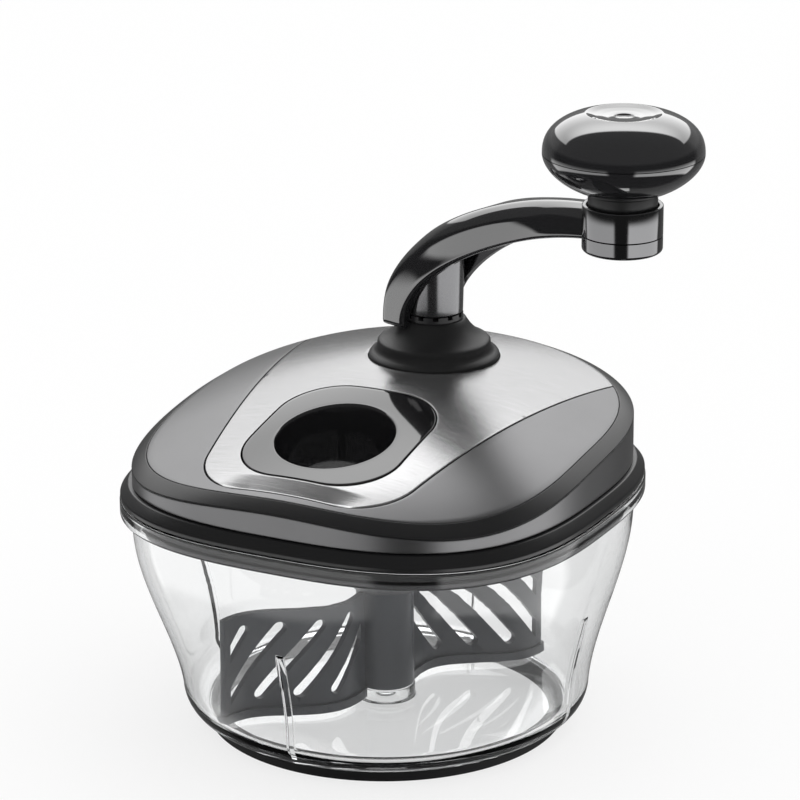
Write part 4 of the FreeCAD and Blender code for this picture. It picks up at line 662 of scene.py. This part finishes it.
def crank_arm():
    """Points and faces of sections that stand on the belly and lean to the roof, one for each share of the
    arm. The outer path of each goes round the lower edge, up a straight side and over a shoulder, a quarter
    ellipse, to a flat roof; the inner path is the hood's hollow, or lies flat on the belly past the hollow.
    Point = belly + across sideways + upward along the lean. All are arrays of one row per section."""
    share = np.concatenate([np.linspace(0, 0.2, 30), np.linspace(0.2, 1, 90)[1:]])
    roof, belly = arm_roof(share), arm_belly(share)
    height = np.linalg.norm(roof - belly, axis=1)[:, None]
    lean = (roof - belly) / height
    low_half, high_half = arm_half_width(belly[:, :1]), arm_half_width(roof[:, :1])

    # From hood to bar the roof gets 1 narrower at each side, and its shoulders become wide and high.
    bar = smooth_step((share[:, None] - 0.1) / 0.3)
    roof_half = high_half - 1.0 * bar
    shoulder_wide, shoulder_high = 2.2 + 4.0 * bar, np.minimum(2.4 + 4.6 * bar, 0.8 * height)
    foot = np.minimum(FOOT_ROUND, 0.3 * height)
    turn, part = np.linspace(0, QUARTER, 9)[None, :], np.linspace(0, 1, 8)[None, 1:-1]
    across = np.concatenate([
        low_half - foot - 0.6,
        low_half - foot + foot * np.sin(turn),
        low_half + (roof_half - low_half) * part,
        roof_half - shoulder_wide + shoulder_wide * np.cos(turn),
        (roof_half - shoulder_wide) * part[:, ::-1],
        0 * height], axis=1)
    upward = np.concatenate([
        0 * height,
        foot - foot * np.cos(turn),
        foot + (height - shoulder_high - foot) * part,
        height - shoulder_high + shoulder_high * np.sin(turn),
        height + 0 * part,
        height], axis=1)

    # The hollow follows the same steps in three straight runs: in along the foot, up the cheek and to the
    # middle of its roof.
    steps = across.shape[1]
    path = np.interp(np.arange(steps), [0, 3, 20, steps - 1], [0, 1, 2, 3])
    cheek, deep = low_half - CHEEK_THICK, np.maximum(height - ROOF_THICK, 0.5)
    hollow = smooth_step((HOLLOW_END - belly[:, :1]) / 2.0)
    foot_run = cheek + (across[:, :1] - cheek) * np.clip(1 - path, 0, 1)
    inner_across = np.where(path < 2, foot_run, cheek * (3 - path))
    inner_across = hollow * inner_across + (1 - hollow) * across[:, :1] * np.linspace(1, 0, steps)
    inner_upward = hollow * deep * np.clip(path - 1, 0, 1)

    # Right side, left side, and back through the hollow from left to right.
    across = np.concatenate([across, -across[:, -2::-1], -inner_across[:, 1:], inner_across[:, -2:0:-1]],
                            axis=1)
    upward = np.concatenate([upward, upward[:, -2::-1], inner_upward[:, 1:], inner_upward[:, -2:0:-1]],
                            axis=1)

    # The cheeks' feet are rounded below the first section: a quarter turn that draws in both their sides.
    foot_turn = np.linspace(0, QUARTER, FOOT_ROWS + 1)[:-1, None]
    cheek_middle = np.sign(across[:1]) * (low_half[:1] - CHEEK_THICK / 2)
    on_cheek = np.abs(across[:1]) > cheek[:1] - 0.01
    drawn_in = on_cheek * (1 - np.sin(foot_turn)) * 0.8 * (across[:1] - cheek_middle)
    across = np.vstack([across[:1] - drawn_in, across])
    upward = np.vstack([np.repeat(upward[:1], FOOT_ROWS, axis=0), upward])
    base = np.vstack([belly[:1] - (0, FOOT_DROP) * np.cos(foot_turn), belly])
    lean = np.vstack([np.repeat(lean[:1], FOOT_ROWS, axis=0), lean])
    along = base[:, :1] + upward * lean[:, :1]
    level = base[:, 1:] + upward * lean[:, 1:]
    return from_arm(along, across, level), grid_faces(*across.shape)


arm = mesh_object("gooseneck_arm", *crank_arm(), 50)
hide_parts("crank_arm")
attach(arm, "crank")
gloss = plastic("gloss_black_plastic", (0.008, 0.008, 0.009), (0.011, 0.011, 0.012),
                rough=(0.05, 0.09), grain=400, relief=1e-6, IOR=1.5, Coat_Weight=1.0, Coat_IOR=1.75,
                Coat_Roughness=0.03)
dress(arm, gloss)


# ---------------------------------------------------------------- collar and its cap
# Two turned rings of dark chromed steel round the arm's end, with a thin seam between them: the arm runs
# into the upper one, and the lower one is a cap screwed on from below.

KNOB = (ARM_REACH * math.cos(ARM_TURN), CRANK_Y + ARM_REACH * math.sin(ARM_TURN))
COLLAR_INNER, COLLAR_OUTER, COLLAR_LOW, COLLAR_TOP = 13.5, 15.2, 204.4, 216.0
collar = turned("chrome_collar", ring_profile([(COLLAR_INNER, COLLAR_LOW), (COLLAR_OUTER, COLLAR_LOW),
                                               (COLLAR_OUTER, COLLAR_TOP), (COLLAR_INNER, COLLAR_TOP)], 0.5),
                KNOB, 192, 35)
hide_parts("arm_collar")
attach(collar, "crank")
dark_chrome = plastic("dark_chrome_plating", (0.14, 0.14, 0.143), (0.17, 0.17, 0.173),
                      rough=(0.07, 0.12), grain=700, Metallic=1.0)
dress(collar, dark_chrome)


def smooth_copy(node, name, body, material):
    """A copy of a CAD node with its triangles merged, so that its round faces shade smoothly."""
    mesh = nodes[node].data.copy()
    form = bmesh.new()
    form.from_mesh(mesh)
    bmesh.ops.remove_doubles(form, verts=form.verts, dist=1e-6)
    bmesh.ops.dissolve_limit(form, angle_limit=math.radians(0.3), verts=form.verts, edges=form.edges)
    piece = shaded_piece(name, mesh, form, 32)
    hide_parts(node)
    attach(piece, body)
    dress(piece, material)


smooth_copy("collar_cap", "chrome_cap", "crank", dark_chrome)


# ---------------------------------------------------------------- knob
# Two shells of gloss black plastic that meet at a thin seam, with a shallow dish on top, on a black neck
# that turns on the axle.

KNOB_HALF, KNOB_WIDEST, KNOB_WALL = 30.3, 235.5, 2.4      # radius, height of its widest ring, shells' wall
SEAM_HALF = 0.15
UPPER_RISE, UPPER_POWER, DISH_R = 16.5, 2.4, 14.3
LOWER_RISE, LOWER_POWER, NECK_R = -17.5, 1.8, 13.1
AXLE_HOLE, BUSH_SEAT, SEAT_TOP = 5.84, 8.6, 243


def knob_half(rise, power, inset, inner_r):
    """A quarter superellipse of (radius, height) from the knob's widest ring to an inner radius: radius
    reach cos^(2/power), lift rise sin^(2/power). Its first point leaves room for the seam."""
    reach = KNOB_HALF - inset
    angle = np.linspace(0, math.acos((inner_r / reach) ** (power / 2)), 26)
    lift = math.copysign(1, rise) * (abs(rise) - inset) * np.sin(angle) ** (2 / power)
    half = np.stack([reach * np.cos(angle) ** (2 / power), KNOB_WIDEST + lift], axis=1)
    half[0, 1] += math.copysign(SEAM_HALF, rise)
    return half


upper = knob_half(UPPER_RISE, UPPER_POWER, 0.0, DISH_R)
upper_inside = knob_half(UPPER_RISE, UPPER_POWER, KNOB_WALL, DISH_R)
top = upper[-1, 1]
dish = bend([upper[-2], (DISH_R, top), (11.4, top - 0.75), (7.6, top - 1.1), (3.75, top - 1.2),
             (3.2, top - 1.9), (0, top - 2.0)], 0.9, 5)
dish_under = [(0, top - 4.4), (11.4, top - 4.4)]
top_half = turned("knob_upper", np.vstack([dish_under, upper_inside[::-1], upper[:-2], dish]), KNOB, 224, 45)
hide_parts("knob_top")
lower = knob_half(LOWER_RISE, LOWER_POWER, 0.0, NECK_R)
lower_inside = knob_half(LOWER_RISE, LOWER_POWER, KNOB_WALL, BUSH_SEAT)
low_end = lower[-1, 1]
bore = [(BUSH_SEAT, SEAT_TOP), (AXLE_HOLE, SEAT_TOP), (AXLE_HOLE, low_end)]
low_half = turned("knob_lower", np.vstack([bore[-1:], lower[::-1], lower_inside, bore]), KNOB, 224, 45)
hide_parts("knob_base")
for half in (top_half, low_half):
    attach(half, "knob")
    dress(half, gloss)
NECK_LOW = 214.8
neck = turned("knob_neck_ring", ring_profile([(AXLE_HOLE, NECK_LOW), (NECK_R, NECK_LOW), (NECK_R, low_end),
                                              (AXLE_HOLE, low_end)], 0.3), KNOB, 160, 35)
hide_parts("knob_neck")
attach(neck, "knob")
dress(neck, soft_black)


# ---------------------------------------------------------------- paddle
# Anthracite plastic: a tube with two S-curved wings, each with leaning slots, and a clear sleeve round the
# tube's upper part.

anthracite = plastic("paddle_anthracite", (0.07, 0.077, 0.09), (0.084, 0.091, 0.105),
                     rough=(0.3, 0.36), grain=900)
smooth_copy("paddle", "slotted_paddle", "paddle", anthracite)
HUB_INNER, HUB_OUTER, HUB_LOW, HUB_TOP = 11.45, 12.6, 53.3, 86
hub_sleeve = turned("clear_hub_sleeve", ring_profile([(HUB_INNER, HUB_LOW), (HUB_OUTER, HUB_LOW),
                                                      (HUB_OUTER, HUB_TOP), (HUB_INNER, HUB_TOP)], 0.3),
                    count=128)
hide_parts("hub_sleeve")
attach(hub_sleeve, "paddle")
dress(hub_sleeve, clear)


# ---------------------------------------------------------------- parts inside
# The lid's floor with its seal, the gearbox, shafts, bushes, pins, clips and screws: moulded grey and
# natural plastic, black bushes and turned steel.

inner_grey = plastic("inner_dark_grey", (0.045, 0.045, 0.05), (0.055, 0.055, 0.06),
                     rough=(0.4, 0.5), grain=1800, relief=5e-6)
natural = plastic("natural_acetal", (0.75, 0.74, 0.7), (0.8, 0.79, 0.75),
                  rough=(0.35, 0.45), grain=1500, relief=3e-6)
black_bush = plastic("black_bush_plastic", (0.015, 0.015, 0.016), (0.022, 0.022, 0.023),
                     rough=(0.3, 0.4), grain=1500, relief=3e-6)
steel = plastic("turned_steel", (0.5, 0.5, 0.505), (0.6, 0.6, 0.605),
                rough=(0.2, 0.3), grain=2200, relief=2e-6, Metallic=1.0)
for material, names in ((inner_grey, ("lid_base", "gearbox_base", "gearbox_cover")),
                        (rubber, ("rim_seal",)),
                        (natural, ("drive_gear", "pinion", "output_bushes", "lower_bush", "knob_bushes")),
                        (black_bush, ("upper_bush",)),
                        (steel, ("output_shaft", "gearbox_screws", "lid_screws", "crank_shaft", "shaft_clip",
                                 "gear_pin", "arm_pin", "cap_screws", "knob_axle", "knob_clip"))):
    for name in names:
        dress(nodes[name], material)


# ---------------------------------------------------------------- table, light and camera
# A plain white table in an even white room with one wide soft lamp. Reflections see a studio instead: a low
# soft box at either side, a long one overhead and a dim backdrop, which give gloss and steel their bands.

TABLE_HALF = 6000
table = mesh_object("table_top", TABLE_HALF * np.array([(-1, -1, 0), (1, -1, 0), (1, 1, 0), (-1, 1, 0)]),
                    [(0, 1, 2, 3)])
table.visible_glossy = False

# Seen directly or through the clear plastic, the table is in part lit by itself, so that it looks white and
# still keeps the chopper's shadow.
SELF_LIT_SEEN, SELF_LIT_THROUGH = 0.78, 0.86
white = Nodes("table_white")
white.fixed(Roughness=0.9)
white.shade(white.noise(3), (0.955, 0.955, 0.955), (0.975, 0.975, 0.975))
seen = white.add("ShaderNodeLightPath").outputs
lit = white.add("ShaderNodeEmission", Color=(1, 1, 1, 1), Strength=1.0)
straight = white.add("ShaderNodeMath", {0: seen["Is Camera Ray"]}, operation="MULTIPLY")
straight.inputs[1].default_value = SELF_LIT_SEEN
self_lit = white.add("ShaderNodeMath", {0: seen["Is Transmission Ray"], 2: straight.outputs[0]},
                     operation="MULTIPLY_ADD")
self_lit.inputs[1].default_value = SELF_LIT_THROUGH
blend = white.add("ShaderNodeMixShader", {0: self_lit.outputs[0], 1: white.shader.outputs[0],
                                          2: lit.outputs[0]})
white.tree.links.new(blend.outputs[0], white.tree.nodes["Material Output"].inputs["Surface"])
dress(table, white.material)

world = bpy.data.worlds.new("studio")
bpy.context.scene.world = world
world.use_nodes = True
sky = world.node_tree


def calc(operation, first, second=0.0):
    """One Math node; each side is a number or another node's output."""
    node = sky.nodes.new("ShaderNodeMath")
    node.operation = operation
    for socket, value in zip(node.inputs, (first, second)):
        if isinstance(value, (int, float)):
            socket.default_value = value
        else:
            sky.links.new(value, socket)
    return node.outputs[0]


def ramp(value, start, end, low=0.0, high=1.0):
    """A smooth rise from low at start to high at end, level beyond both."""
    node = sky.nodes.new("ShaderNodeMapRange")
    node.interpolation_type = "SMOOTHSTEP"
    for key, setting in (("From Min", start), ("From Max", end), ("To Min", low), ("To Max", high)):
        node.inputs[key].default_value = setting
    sky.links.new(value, node.inputs["Value"])
    return node.outputs["Result"]


def window(value, low, high, soft):
    """1 where a value lies between low and high, 0 outside, with soft edges."""
    rise, fall = ramp(value, low - soft, low + soft), ramp(value, high - soft, high + soft, 1.0, 0.0)
    return calc("MULTIPLY", rise, fall)


# Bearing and lift of a direction in degrees: bearing 0 is the side from which the chopper is seen.
STUDIO_TURN = math.radians(27.5)
direction = sky.nodes.new("ShaderNodeMapping")
direction.inputs["Rotation"].default_value = (0, 0, -STUDIO_TURN)
sky.links.new(sky.nodes.new("ShaderNodeTexCoord").outputs["Generated"], direction.inputs["Vector"])
parts = sky.nodes.new("ShaderNodeSeparateXYZ")
sky.links.new(direction.outputs["Vector"], parts.inputs["Vector"])
right_of, away, above = parts.outputs
bearing = calc("DEGREES", calc("ARCTAN2", right_of, calc("MULTIPLY", away, -1.0)))
lift = calc("DEGREES", calc("ARCSINE", above))

# The studio that reflections see, in strengths where 1 is white.
SIDE_LEFT, SIDE_RIGHT = 1.6, 2.2
left_box = calc("MULTIPLY", window(bearing, -125.0, -27.0, 4.0),
                calc("MULTIPLY", window(lift, -33.0, -12.0, 3.0), SIDE_LEFT))
right_box = calc("MULTIPLY", window(bearing, 13.0, 115.0, 4.0),
                 calc("MULTIPLY", window(lift, -37.0, -12.0, 3.0), SIDE_RIGHT))
TOP_FAR, TOP_NEAR = 1.8, 3.7
overhead = calc("MAXIMUM", above, 0.05)
top_width = window(calc("DIVIDE", right_of, overhead), -1.6, 1.6, 0.1)
top_depth = window(calc("DIVIDE", away, overhead), 0.6, 4.5, 0.05)
top_box = calc("MULTIPLY", calc("MULTIPLY", top_width, top_depth), ramp(lift, 32.0, 56.0, TOP_FAR, TOP_NEAR))
BACKDROP = 0.12
behind = window(calc("ABSOLUTE", bearing), 118.0, 200.0, 8.0)
backdrop = calc("MULTIPLY", behind, ramp(lift, 22.0, 36.0, BACKDROP, 0.0))
ROOM_LOW, ROOM_UPPER = 0.05, 0.16
dark_room = ramp(lift, 0.0, 12.0, ROOM_LOW, ROOM_UPPER)
sides = calc("ADD", left_box, right_box)
studio = calc("ADD", sides, calc("ADD", calc("MAXIMUM", top_box, backdrop), dark_room))

# All other light comes from the even room, which is white where it is seen.
PLAIN_LIGHT = 0.8
ray = sky.nodes.new("ShaderNodeLightPath").outputs
shown_white = calc("MAXIMUM", ray["Is Camera Ray"], ray["Is Transmission Ray"])
not_glossy = calc("ADD", calc("MULTIPLY", shown_white, 1.0 - PLAIN_LIGHT), PLAIN_LIGHT)
glossy_part = calc("MULTIPLY", ray["Is Glossy Ray"], calc("SUBTRACT", studio, not_glossy))
background = sky.nodes["Background"]
background.inputs["Color"].default_value = (1, 1, 1, 1)
sky.links.new(calc("ADD", not_glossy, glossy_part), background.inputs["Strength"])

LAMP_FROM = Vector((0.25, 0.35, 1.0))
lamp = bpy.data.lights.new("soft_lamp", "SUN")
lamp.energy = 0.8
lamp.angle = math.radians(70)
holder = bpy.data.objects.new("soft_lamp", lamp)
bpy.context.scene.collection.objects.link(holder)
holder.matrix_world = LAMP_FROM.to_track_quat("Z", "Y").to_matrix().to_4x4()
holder.visible_glossy = False

CAMERA_AT = (0.6110, -1.1718, 0.5753)
heading, pitch, roll = math.radians(27.537), math.radians(18.643), -0.0065
camera = bpy.data.cameras.new("camera")
camera.sensor_width = 36
camera.lens = 162.0
camera.shift_x = 0.0195
camera.clip_start, camera.clip_end = 0.05, 50
viewer = bpy.data.objects.new("camera", camera)
bpy.context.scene.collection.objects.link(viewer)
viewer.matrix_world = (Matrix.Translation(CAMERA_AT) @ Matrix.Rotation(heading, 4, "Z")
                       @ Matrix.Rotation(math.pi / 2 - pitch, 4, "X") @ Matrix.Rotation(roll, 4, "Z"))
bpy.context.scene.camera = viewer
bpy.context.scene.view_settings.view_transform = "Standard"
